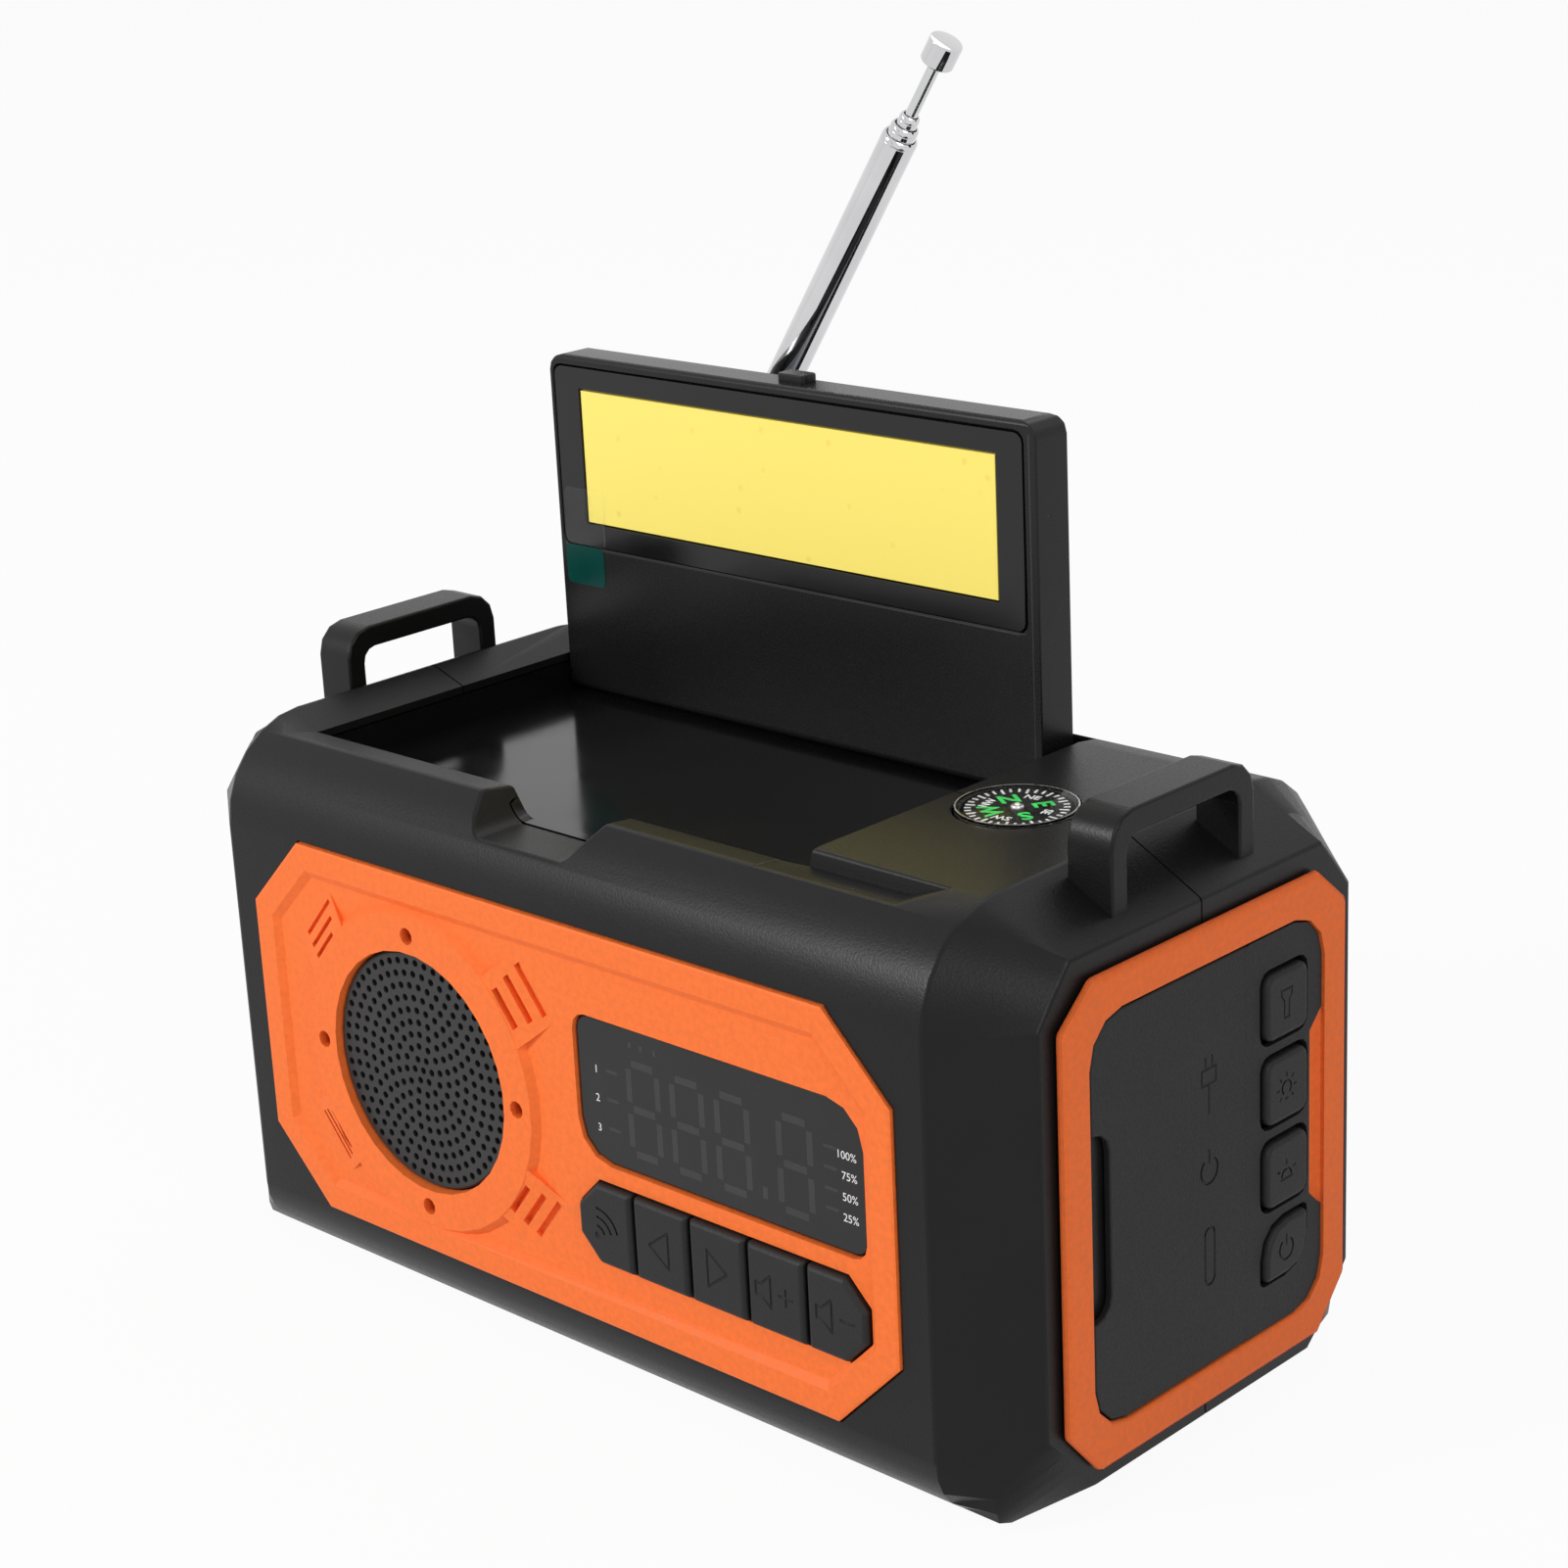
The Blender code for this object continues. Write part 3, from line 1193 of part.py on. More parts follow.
def aerial():
    """Fork and pin on the rear ledge, and a telescopic aerial that leans towards +X from its pin."""
    half = FORK_HALF
    pocket_floor = LEDGE_Z - POCKET_DEPTH + GAP
    arch = [(AERIAL_X - FORK_R, pocket_floor), (AERIAL_X + FORK_R, pocket_floor)]
    arch += [
        (AERIAL_X + FORK_R * math.cos(math.pi * k / 8), AERIAL_Z + FORK_R * math.sin(math.pi * k / 8))
        for k in range(9)
    ]
    root = prism("antenna_root", arch, "Y", AERIAL_Y - half, AERIAL_Y + half, "steel")
    slot = TONGUE_THICK / 2 + GAP
    cut(root, box(
        "fork slot",
        (AERIAL_X - 2 * FORK_R, AERIAL_Y - slot, AERIAL_Z - FORK_R - GAP),
        (AERIAL_X + 2 * FORK_R, AERIAL_Y + slot, AERIAL_Z + 2 * FORK_R),
    ))
    place = (AERIAL_X, AERIAL_Z)
    cut(
        root,
        rod("fork bore", AERIAL_PIN_R + GAP, "Y", place, AERIAL_Y - 2 * half, AERIAL_Y + 2 * half, steps=12),
    )
    rod("antenna_pin", AERIAL_PIN_R, "Y", place, AERIAL_Y - half, AERIAL_Y + half, "steel", 12)
    pivot = bpy.data.objects.new("aerial pivot", None)
    pivot.location = Vector((AERIAL_X, AERIAL_Y, AERIAL_Z)) * MM
    pivot.rotation_euler = (0, -math.radians(AERIAL_LEAN), 0)
    bpy.context.scene.collection.objects.link(pivot)

    def on_pivot(*pieces):
        for piece in pieces:
            piece.parent = pivot

    radius = AERIAL_D / 2
    steps = 16
    shank = FORK_R + 2.5
    tube = turned("antenna_tube", [
        (0, shank), (radius - 0.6, shank), (radius, shank + 1.2), (radius, AERIAL_TUBE_END),
        (radius - AERIAL_WALL, AERIAL_TUBE_END), (radius - AERIAL_WALL, shank + 3), (0, shank + 3),
    ], "X", (0, 0), "chrome", steps)
    eye_r = FORK_R - GAP
    eye = [(shank + 1, -radius + 0.8), (shank + 1, radius - 0.8)]
    eye += [
        (eye_r * math.cos(math.radians(a)), eye_r * math.sin(math.radians(a))) for a in range(80, 281, 25)
    ]
    tongue = prism("aerial tongue", eye, "Y", -TONGUE_THICK / 2, TONGUE_THICK / 2)
    join(tube, tongue)
    bore = rod("tongue bore", AERIAL_PIN_R + GAP, "Y", (0, 0), -TONGUE_THICK, TONGUE_THICK, steps=12)
    cut(tube, bore)
    on_pivot(tube, tongue, bore)
    end, start = AERIAL_TUBE_END, shank + 3
    for name in ("antenna_section_2", "antenna_section_3"):
        radius -= AERIAL_WALL + GAP
        end += AERIAL_STUB
        start += 2.0
        on_pivot(turned(name, [
            (0, start), (radius, start), (radius, end - 0.5), (radius - 0.2, end),
            (radius - AERIAL_WALL, end), (radius - AERIAL_WALL, start + 1), (0, start + 1),
        ], "X", (0, 0), "chrome", steps))
    radius -= AERIAL_WALL + GAP
    on_pivot(rod("antenna_rod", radius, "X", (0, 0), start + 2.0, AERIAL_ROD_END + 3, "chrome", 12))
    knob_start = AERIAL_ROD_END
    on_pivot(turned("antenna_knob", [
        (0, knob_start + 3 + GAP), (radius + GAP, knob_start + 3 + GAP), (radius + GAP, knob_start),
        (KNOB_R - 0.5, knob_start), (KNOB_R, knob_start + 0.5), (KNOB_R, knob_start + KNOB_LENGTH - 0.8),
        (KNOB_R - 0.8, knob_start + KNOB_LENGTH), (0, knob_start + KNOB_LENGTH),
    ], "X", (0, 0), "steel", steps))


def gear_outline(teeth, centre, phase):
    pitch = 2 * math.pi / teeth
    root, tip = GEAR_MODULE * (teeth / 2 - 1.2), GEAR_MODULE * (teeth / 2 + 0.8)
    outline = []
    for i in range(teeth):
        for radius, share in ((root, -0.30), (tip, -0.13), (tip, 0.13), (root, 0.30)):
            angle = pitch * (i + phase + share)
            outline.append((centre[0] + radius * math.cos(angle), centre[1] + radius * math.sin(angle)))
    return outline


def crank():
    """Crank arm hanging in its dish with a folding handle, and the gear on the same shaft inside."""
    centre = (0, CRANK_Z)
    axis = (0, DISH_FLOOR, CRANK_Z)
    arm_face = DISH_FLOOR + RUN_GAP + CRANK_THICK
    tip = CRANK_Z - CRANK_R
    half = CRANK_WIDTH / 2
    arm_outline = fillet(
        [
            (-half, tip - half, half - 0.2), (half, tip - half, half - 0.2),
            (half, CRANK_Z, 0), (-half, CRANK_Z, 0),
        ],
        5,
    )
    arm = prism("crank_arm", arm_outline, "Y", DISH_FLOOR + RUN_GAP, arm_face, "black_plastic", axis)
    join(arm, rod("crank hub", HUB_R, "Y", centre, DISH_FLOOR + RUN_GAP + 0.1, arm_face + 1.0, steps=24))
    ear = HANDLE_WIDTH / 2 + GAP
    hinge_y = arm_face + GAP + HANDLE_THICK / 2
    for side in (-1, 1):
        join(arm, box(
            f"crank ear {side}",
            (side * ear if side > 0 else -half, arm_face - 1, tip - HANDLE_THICK / 2),
            (half if side > 0 else -ear, hinge_y + HANDLE_THICK / 2, tip + HANDLE_THICK / 2),
        ))
    cut(arm, rod("hub bore", SHAFT_R + GAP, "Y", centre, DISH_FLOOR, arm_face - 1, steps=16))
    pin_r = 0.8
    reach = CRANK_R - HUB_R - HANDLE_SPACE
    join(arm, rod("handle pin", pin_r, "X", (hinge_y, tip), 0.5 - half, half - 0.5, steps=10))
    grip = fillet([
        (hinge_y - HANDLE_THICK / 2, tip - HANDLE_THICK / 2, HANDLE_THICK / 2 - 0.1),
        (hinge_y + HANDLE_THICK / 2, tip - HANDLE_THICK / 2, HANDLE_THICK / 2 - 0.1),
        (hinge_y + HANDLE_THICK / 2, tip + reach, 0.8),
        (hinge_y - HANDLE_THICK / 2, tip + reach, 0.8),
    ], 4)
    handle = prism(
        "crank_handle", grip, "X", -HANDLE_WIDTH / 2, HANDLE_WIDTH / 2, "black_plastic", (0, hinge_y, tip)
    )
    cut(handle, rod("handle bore", pin_r + GAP, "X", (hinge_y, tip), -half, half, steps=10))
    gear = prism(
        "crank_gear", gear_outline(GEAR_TEETH, centre, 0.0), "Y", GEAR_FRONT, GEAR_BACK, "nylon", axis
    )
    join(gear, rod("crank shaft", SHAFT_R, "Y", centre, GEAR_FRONT - 1, arm_face - 1 - GAP))


def dynamo():
    """Cup-shaped housing on two legs from the rear wall, and the rotor with its pinion in mesh."""
    centre = (DYNAMO_X, CRANK_Z)
    mouth = GEAR_FRONT - 1.5
    base = mouth - DYNAMO_DEPTH
    inner = DYNAMO_R - 1.4
    housing = turned("dynamo_housing", [
        (0, base), (DYNAMO_R, base), (DYNAMO_R, mouth), (inner, mouth), (inner, base + 1.5), (0, base + 1.5),
    ], "Y", centre, "steel", 28)
    leg_r = 2.5
    leg_x = max(DYNAMO_X + DYNAMO_R - 1.0, DISH_R + WALL + leg_r + 1.0)
    lug_x = DYNAMO_X + math.sqrt(inner ** 2 - (DYNAMO_R * 0.6 - leg_r) ** 2) + GAP
    for side in (-1, 1):
        place = (leg_x, CRANK_Z + side * DYNAMO_R * 0.6)
        lug = box(
            f"dynamo lug {side}",
            (lug_x, mouth - 3, place[1] - leg_r),
            (leg_x, mouth - 0.2, place[1] + leg_r),
        )
        join(housing, lug)
        join(housing, rod(f"dynamo leg {side}", leg_r, "Y", place, mouth - 3.2, INNER_REAR - GAP, steps=10))
    rotor_base = base + 1.5 + GAP
    rotor = turned("dynamo_rotor", [
        (0, rotor_base), (inner - RUN_GAP, rotor_base), (inner - RUN_GAP, mouth - 4), (2.0, mouth - 4),
        (2.0, GEAR_FRONT + 1), (0, GEAR_FRONT + 1),
    ], "Y", centre, "steel", 24, (DYNAMO_X, rotor_base, CRANK_Z))
    join(
        rotor,
        prism(
            "dynamo pinion", gear_outline(PINION_TEETH, centre, 0.5), "Y", GEAR_FRONT - 0.5, GEAR_BACK + 0.5
        ),
    )


def works():
    """Cell, main board, ferrite rod and the case screws."""
    cell_z = WALL + GAP + CELL_R
    cell_x = -POST_X + POST_R + 2.0
    rod("battery_cell", CELL_R, "X", (FRONT / 3, cell_z), cell_x, cell_x + CELL_LENGTH, "cell_wrap", 20)
    front, rear = board_span()
    low = WALL + BOSS_HEIGHT + GAP
    half = BOARD_SIZE[0] / 2
    box("main_board", (-half, front, low), (half, rear, low + BOARD_THICK), "board_green")
    rod_x = POST_X - POST_R - 2.0
    place = (INNER_FRONT + GAP + ROD_R, MID_Z + DISPLAY_RISE + DISPLAY_HEIGHT / 2 + 2 + ROD_R)
    rod("ferrite_rod", ROD_R, "X", place, rod_x - ROD_LENGTH, rod_x, "ferrite", 12)
    for i, place in enumerate(post_places()):
        head = POST_FLOOR + GAP
        turned(f"rear_screw_{i + 1}", [
            (0, -SCREW_REACH), (SCREW_R, -SCREW_REACH + 1), (SCREW_R, head), (SCREW_HEAD_R, head),
            (SCREW_HEAD_R, head + SCREW_HEAD * 0.6), (SCREW_HEAD_R * 0.6, head + SCREW_HEAD),
            (0, head + SCREW_HEAD),
        ], "Y", place, "steel", 12)


def main():
    clear_scene()
    case_shells()
    front_plate()
    speaker()
    display()
    front_keys()
    right_end()
    left_end()
    top_tray()
    lid()
    compass()
    aerial()
    crank()
    dynamo()
    works()


main()
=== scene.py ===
"""Finishes an emergency radio: models the pieces that show over its CAD frame, and their materials."""

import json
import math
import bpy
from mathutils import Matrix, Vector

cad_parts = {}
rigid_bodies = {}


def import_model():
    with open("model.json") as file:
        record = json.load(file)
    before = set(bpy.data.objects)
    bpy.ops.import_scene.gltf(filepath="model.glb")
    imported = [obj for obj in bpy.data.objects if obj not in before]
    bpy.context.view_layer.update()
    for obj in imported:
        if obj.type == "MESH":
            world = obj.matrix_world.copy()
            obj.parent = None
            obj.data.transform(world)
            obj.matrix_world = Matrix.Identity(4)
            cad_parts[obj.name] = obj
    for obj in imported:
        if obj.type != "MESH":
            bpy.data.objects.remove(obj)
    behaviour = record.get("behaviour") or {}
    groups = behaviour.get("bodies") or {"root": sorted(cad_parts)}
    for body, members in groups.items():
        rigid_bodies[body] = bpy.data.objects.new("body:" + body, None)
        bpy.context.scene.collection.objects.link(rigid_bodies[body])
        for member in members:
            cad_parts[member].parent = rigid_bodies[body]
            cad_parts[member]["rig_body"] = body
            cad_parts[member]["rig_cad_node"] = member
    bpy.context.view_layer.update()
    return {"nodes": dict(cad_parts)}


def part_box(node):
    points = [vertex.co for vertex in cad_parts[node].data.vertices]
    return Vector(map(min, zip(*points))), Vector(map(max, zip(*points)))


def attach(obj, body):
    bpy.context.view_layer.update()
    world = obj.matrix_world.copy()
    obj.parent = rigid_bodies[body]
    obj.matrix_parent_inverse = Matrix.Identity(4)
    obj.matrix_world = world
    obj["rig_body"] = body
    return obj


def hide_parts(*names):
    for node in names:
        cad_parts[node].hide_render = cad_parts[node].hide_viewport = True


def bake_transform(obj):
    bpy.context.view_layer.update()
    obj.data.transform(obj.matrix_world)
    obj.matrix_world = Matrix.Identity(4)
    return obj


bl_info = {
    "name": "Emergency Radio Finish",
    "version": (1, 0, 0),
    "blender": (4, 5, 0),
    "location": "View3D > Sidebar > Radio",
    "description": "Models and finishes the visible pieces of a crank radio over its CAD frame",
    "category": "Object",
}

import bmesh
import bpy
from mathutils import Matrix, Vector

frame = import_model()

MM = 0.001

# Which way each face of the radio looks: its right, its up and its outward direction
FACES = {
    "front": ((1, 0, 0), (0, 0, 1), (0, -1, 0)),
    "right": ((0, 1, 0), (0, 0, 1), (1, 0, 0)),
    "top": ((1, 0, 0), (0, 1, 0), (0, 0, 1)),
}


# Finishes


def new_finish(name, colour, roughness, metallic=0.0):
    """A material with its shader and the object coordinates that its patterns read."""
    finish = bpy.data.materials.new(name)
    finish.use_nodes = True
    tree = finish.node_tree
    shader = tree.nodes["Principled BSDF"]
    shader.inputs["Base Color"].default_value = (*colour, 1)
    shader.inputs["Roughness"].default_value = roughness
    shader.inputs["Metallic"].default_value = metallic
    place = tree.nodes.new("ShaderNodeTexCoord")
    return finish, tree, shader, place.outputs["Object"]


def noise(tree, place, scale, detail=3.0):
    """Grey noise whose lumps are about one metre over scale across."""
    node = tree.nodes.new("ShaderNodeTexNoise")
    node.inputs["Scale"].default_value = scale
    node.inputs["Detail"].default_value = detail
    tree.links.new(place, node.inputs["Vector"])
    return node.outputs["Fac"]


def stretched(tree, place, scale):
    """The coordinates stretched along each axis, for brushed and lined patterns."""
    node = tree.nodes.new("ShaderNodeMapping")
    node.inputs["Scale"].default_value = scale
    tree.links.new(place, node.inputs["Vector"])
    return node.outputs["Vector"]


def ramp(tree, value, *stops):
    """Turns a grey value into colours."""
    node = tree.nodes.new("ShaderNodeValToRGB")
    elements = node.color_ramp.elements
    while len(elements) < len(stops):
        elements.new(0.5)
    for element, (place, colour) in zip(elements, stops):
        element.position = place
        element.color = (*colour, 1)
    tree.links.new(value, node.inputs["Fac"])
    return node.outputs["Color"]


def spread(tree, value, low, high, start=0.3, end=0.7):
    """Turns a grey value into a range of numbers."""
    node = tree.nodes.new("ShaderNodeMapRange")
    node.inputs["From Min"].default_value = start
    node.inputs["From Max"].default_value = end
    node.inputs["To Min"].default_value = low
    node.inputs["To Max"].default_value = high
    tree.links.new(value, node.inputs["Value"])
    return node.outputs["Result"]


def bumped(tree, shader, height, strength, distance=0.0002):
    """Raises the surface by a grey value."""
    node = tree.nodes.new("ShaderNodeBump")
    node.inputs["Strength"].default_value = strength
    node.inputs["Distance"].default_value = distance
    tree.links.new(height, node.inputs["Height"])
    tree.links.new(node.outputs["Normal"], shader.inputs["Normal"])


def shades(colour, amount):
    """A darker and a lighter shade of a colour."""
    dark = tuple(c * (1 - amount) for c in colour)
    light = tuple(min(1.0, c * (1 + amount)) for c in colour)
    return dark, light


def moulded(name, colour, roughness, grain, depth, drift=0.1, specular=0.5):
    """Moulded plastic or rubber: slow drift of colour, a fine grain in gloss and height."""
    finish, tree, shader, place = new_finish(name, colour, roughness)
    shader.inputs["Specular IOR Level"].default_value = specular
    dark, light = shades(colour, drift)
    slow = noise(tree, place, 60.0, 4.0)
    tree.links.new(ramp(tree, slow, (0.3, dark), (0.7, light)), shader.inputs["Base Color"])
    fine = noise(tree, place, grain, 2.0)
    tree.links.new(spread(tree, fine, roughness - 0.05, roughness + 0.05), shader.inputs["Roughness"])
    bumped(tree, shader, fine, depth)
    return finish


def sparked(name, colour, roughness):
    """Spark-textured plastic: small pits over a coarser leather-like grain."""
    finish, tree, shader, place = new_finish(name, colour, roughness)
    shader.inputs["Specular IOR Level"].default_value = 0.2
    dark, light = shades(colour, 0.05)
    coarse = noise(tree, place, 900.0, 3.0)
    tree.links.new(ramp(tree, coarse, (0.35, dark), (0.65, light)), shader.inputs["Base Color"])
    pits = tree.nodes.new("ShaderNodeTexVoronoi")
    pits.inputs["Scale"].default_value = 2100.0
    tree.links.new(place, pits.inputs["Vector"])
    both = tree.nodes.new("ShaderNodeMath")
    both.operation = "ADD"
    tree.links.new(coarse, both.inputs[0])
    tree.links.new(pits.outputs["Distance"], both.inputs[1])
    tree.links.new(spread(tree, coarse, roughness - 0.08, roughness + 0.08), shader.inputs["Roughness"])
    bumped(tree, shader, both.outputs["Value"], 0.3, 0.00012)
    return finish


def metal(name, colour, roughness, lines=(1, 1, 1)):
    """Plated or bare metal with faint drawing lines in its gloss."""
    finish, tree, shader, place = new_finish(name, colour, roughness, 1.0)
    streaks = noise(tree, stretched(tree, place, lines), 500.0, 4.0)
    low = max(0.02, roughness * 0.7)
    tree.links.new(spread(tree, streaks, low, roughness * 1.4), shader.inputs["Roughness"])
    dark, light = shades(colour, 0.04)
    cloud = noise(tree, place, 120.0, 3.0)
    tree.links.new(ramp(tree, cloud, (0.3, dark), (0.7, light)), shader.inputs["Base Color"])
    return finish


def glazed(name, colour, roughness, specular=0.5):
    """Polished plastic with faint smears in its gloss."""
    finish, tree, shader, place = new_finish(name, colour, roughness)
    shader.inputs["Specular IOR Level"].default_value = specular
    smear = noise(tree, place, 90.0, 5.0)
    tree.links.new(spread(tree, smear, roughness * 0.8, roughness * 1.3), shader.inputs["Roughness"])
    dark, light = shades(colour, 0.08)
    tree.links.new(ramp(tree, smear, (0.3, dark), (0.7, light)), shader.inputs["Base Color"])
    return finish


def clear(name, colour, roughness, ior):
    """Clear plastic."""
    finish, tree, shader, place = new_finish(name, colour, roughness)
    shader.inputs["Transmission Weight"].default_value = 1.0
    shader.inputs["IOR"].default_value = ior
    haze = noise(tree, place, 150.0, 3.0)
    tree.links.new(spread(tree, haze, roughness * 0.6, roughness * 1.4), shader.inputs["Roughness"])
    return finish


def lamp_sheet(name, colour):
    """Yellow phosphor sheet with the faint shadows of the chips below it, and a faint painted glow of its
    own colour.
    """
    finish, tree, shader, place = new_finish(name, colour, 0.45)
    shader.inputs["Coat Weight"].default_value = 0.6
    shader.inputs["Coat Roughness"].default_value = 0.04
    # Painted glow: the unlit sheet gives off a little light in its own colour
    shader.inputs["Emission Color"].default_value = (*colour, 1)
    shader.inputs["Emission Strength"].default_value = 0.16
    flat = stretched(tree, place, (1.0, 0.0, 1.0))
    dots = tree.nodes.new("ShaderNodeTexVoronoi")
    dots.inputs["Scale"].default_value = 210.0
    dots.inputs["Randomness"].default_value = 0.55
    tree.links.new(flat, dots.inputs["Vector"])
    dark = tuple(c * f for c, f in zip(colour, (0.88, 0.84, 0.7)))
    tree.links.new(
        ramp(tree, dots.outputs["Distance"], (0.05, dark), (0.17, colour)), shader.inputs["Base Color"]
    )
    bumped(tree, shader, noise(tree, place, 1500.0, 2.0), 0.03)
    return finish


def solar_sheet(name, colour):
    """Dark blue solar cells under clear resin, with silver fingers and bars."""
    finish, tree, shader, place = new_finish(name, colour, 0.28)
    shader.inputs["Coat Weight"].default_value = 1.0
    shader.inputs["Coat Roughness"].default_value = 0.05
    flat = stretched(tree, place, (1.0, 0.0, 1.0))
    cells = tree.nodes.new("ShaderNodeTexBrick")
    cells.offset = 0.0
    cells.inputs["Scale"].default_value = 1.0
    cells.inputs["Brick Width"].default_value = 16.75 * MM
    cells.inputs["Row Height"].default_value = 1.9 * MM
    cells.inputs["Mortar Size"].default_value = 0.11 * MM
    cells.inputs["Mortar Smooth"].default_value = 0.2
    lighter = tuple(c * 1.5 for c in colour)
    cells.inputs["Color1"].default_value = (*colour, 1)
    cells.inputs["Color2"].default_value = (*lighter, 1)
    cells.inputs["Mortar"].default_value = (0.32, 0.34, 0.36, 1)
    turned_flat = tree.nodes.new("ShaderNodeVectorRotate")
    turned_flat.inputs["Axis"].default_value = (1, 0, 0)
    turned_flat.inputs["Angle"].default_value = math.radians(-90)
    tree.links.new(flat, turned_flat.inputs["Vector"])
    tree.links.new(turned_flat.outputs["Vector"], cells.inputs["Vector"])
    tree.links.new(cells.outputs["Color"], shader.inputs["Base Color"])
    bumped(tree, shader, noise(tree, place, 300.0, 2.0), 0.02)
    return finish


def make_finishes(case, fascia, lid, aerial):
    """Every finish on the radio, by name."""
    black = tuple(case.case_colour)
    lid_black = tuple(c * 1.35 for c in black)
    rubber = tuple(case.rubber_colour)
    key_rubber = tuple(c * 0.68 for c in rubber)
    orange = tuple(fascia.plate_colour)
    # Painted shade: the rings' orange is a little darker than the plate's, for the ends that catch less
    # light
    ring = tuple(fascia.shaded_ring_colour)
    chrome = tuple(aerial.chrome_colour)
    grille_black = (0.024, 0.024, 0.025)
    return {
        "case": moulded("case_black", black, 0.36, grain=2600.0, depth=0.16, specular=0.19),
        "satin": moulded("satin_black", black, 0.3, grain=3200.0, depth=0.06, specular=0.22),
        "lid": moulded("lid_black", lid_black, 0.28, grain=3200.0, depth=0.05, specular=0.22),
        "gloss": glazed("gloss_black", (0.005, 0.005, 0.0052), 0.12, specular=0.32),
        "rubber": moulded("black_rubber", rubber, 0.62, grain=2300.0, depth=0.24, drift=0.14, specular=0.3),
        "key": moulded("key_rubber", key_rubber, 0.55, grain=2600.0, depth=0.2, specular=0.3),
        "plate": sparked("orange_plate", orange, 0.5),
        # Rings and crank handle: the plate's orange with painted shade, a little darker
        "ring": sparked("orange_ring_painted_shade", ring, 0.52),
        "grille": moulded("grille_black", grille_black, 0.5, grain=2400.0, depth=0.12, specular=0.3),
        "window": glazed("smoked_window", (0.0135, 0.013, 0.014), 0.24, specular=0.28),
        "ghost": glazed("ghost_segment", (0.03, 0.03, 0.032), 0.28, specular=0.3),
        "print": moulded("white_print", (0.8, 0.8, 0.8), 0.5, grain=2500.0, depth=0.05, drift=0.03),
        "bezel": glazed("lamp_bezel", (0.006, 0.0055, 0.0055), 0.14, specular=0.36),
        "lamp": lamp_sheet("lamp_yellow", tuple(lid.lamp_colour)),
        "solar": solar_sheet("solar_cells", (0.006, 0.012, 0.04)),
        "tab": glazed("film_tab", tuple(lid.tab_colour), 0.25, specular=0.12),
        "film": clear("clear_film", (0.96, 0.96, 0.96), 0.03, ior=1.16),
        "chrome": metal("chrome_plate", chrome, 0.05, lines=(1, 1, 0.05)),
        "nickel": metal("satin_nickel", (0.7, 0.68, 0.66), 0.3, lines=(1, 1, 0.1)),
        "steel": metal("bright_steel", (0.56, 0.57, 0.58), 0.3),
        "mirror": metal("mirror_bowl", (0.92, 0.92, 0.92), 0.05),
        "copper": metal("copper_wire", (0.72, 0.32, 0.14), 0.32, lines=(1, 1, 30)),
        "dome": clear("clear_dome", (1.0, 1.0, 1.0), 0.02, ior=1.08),
        "lens": clear("torch_lens", (1.0, 1.0, 1.0), 0.03, ior=1.49),
        "dial": moulded("dial_black", (0.005, 0.005, 0.005), 0.4, grain=2800.0, depth=0.05, specular=0.2),
        "glow": moulded("dial_green", (0.03, 0.62, 0.1), 0.5, grain=2500.0, depth=0.05, drift=0.05),
        "board": moulded("board_green", (0.012, 0.11, 0.045), 0.42, grain=1500.0, depth=0.08, drift=0.25),
        "nylon": moulded("gear_nylon", (0.72, 0.7, 0.64), 0.45, grain=1800.0, depth=0.08, drift=0.05),
        "paper": moulded("paper_cone", (0.03, 0.029, 0.027), 0.8, grain=1200.0, depth=0.4, drift=0.3),
        "wrap": glazed("cell_wrap", (0.03, 0.11, 0.34), 0.3),
        "ferrite": moulded("ferrite_rod", (0.035, 0.034, 0.034), 0.62, grain=1400.0, depth=0.3, drift=0.2),
    }


# The finishes by name, once the first operator has made them
finishes = {}


# Modelling helpers


def pick(*objects):
    """Selects these objects and nothing else, the first one active."""
    bpy.ops.object.select_all(action="DESELECT")
    for item in objects:
        item.select_set(True)
    bpy.context.view_layer.objects.active = objects[0]


def edit(piece):
    """Starts edit mode on a piece with everything selected."""
    pick(piece)
    bpy.ops.object.mode_set(mode="EDIT")
    bpy.ops.mesh.select_all(action="SELECT")


def done():
    """Goes back to object mode."""
    bpy.ops.object.mode_set(mode="OBJECT")


def applied():
    """Puts the place, turn and size of the selected piece into its mesh."""
    bpy.ops.object.transform_apply(location=True, rotation=True, scale=True)


def around(turn):
    """How far right and how far up a turn in degrees points."""
    return math.cos(math.radians(turn)), math.sin(math.radians(turn))


def joined(pieces):
    """One object out of several."""
    pick(*pieces)
    if len(pieces) > 1:
        bpy.ops.object.join()
    return bpy.context.object


def modified(piece, kind, **settings):
    """Adds a modifier, sets it and applies it."""
    pick(piece)
    modifier = piece.modifiers.new(kind.title(), kind)
    for key, value in settings.items():
        setattr(modifier, key, value)
    bpy.ops.object.modifier_apply(modifier=modifier.name)
    return piece


def cut_out(piece, cutter, crossing=False):
    """Cuts a cutter, whose own bars may be crossing, out of a piece, and removes it."""
    modified(
        piece, "BOOLEAN", operation="DIFFERENCE", object=cutter, solver="EXACT", use_self=crossing
    )
    bpy.data.objects.remove(cutter)


def softened(piece, width, steps=2, angle=30.0, wanted=None):
    """Rounds the sharp outward edges of a piece, width in mm: all of them, or those that wanted picks."""
    edit(piece)
    bpy.ops.mesh.select_mode(type="EDGE")
    bpy.ops.mesh.select_all(action="DESELECT")
    mesh = bmesh.from_edit_mesh(piece.data)
    for edge in mesh.edges:
        if not edge.is_manifold or not edge.is_convex:
            continue
        if edge.calc_face_angle() < math.radians(angle):
            continue
        middle = (edge.verts[0].co + edge.verts[1].co) / 2 / MM
        facing = edge.link_faces[0].normal + edge.link_faces[1].normal
        if wanted is None or wanted(middle, facing):
            edge.select_set(True)
    bmesh.update_edit_mesh(piece.data)
    bpy.ops.mesh.bevel(
        offset=width * MM, segments=steps, affect="EDGES", clamp_overlap=False, miter_outer="ARC"
    )
    done()
    return piece


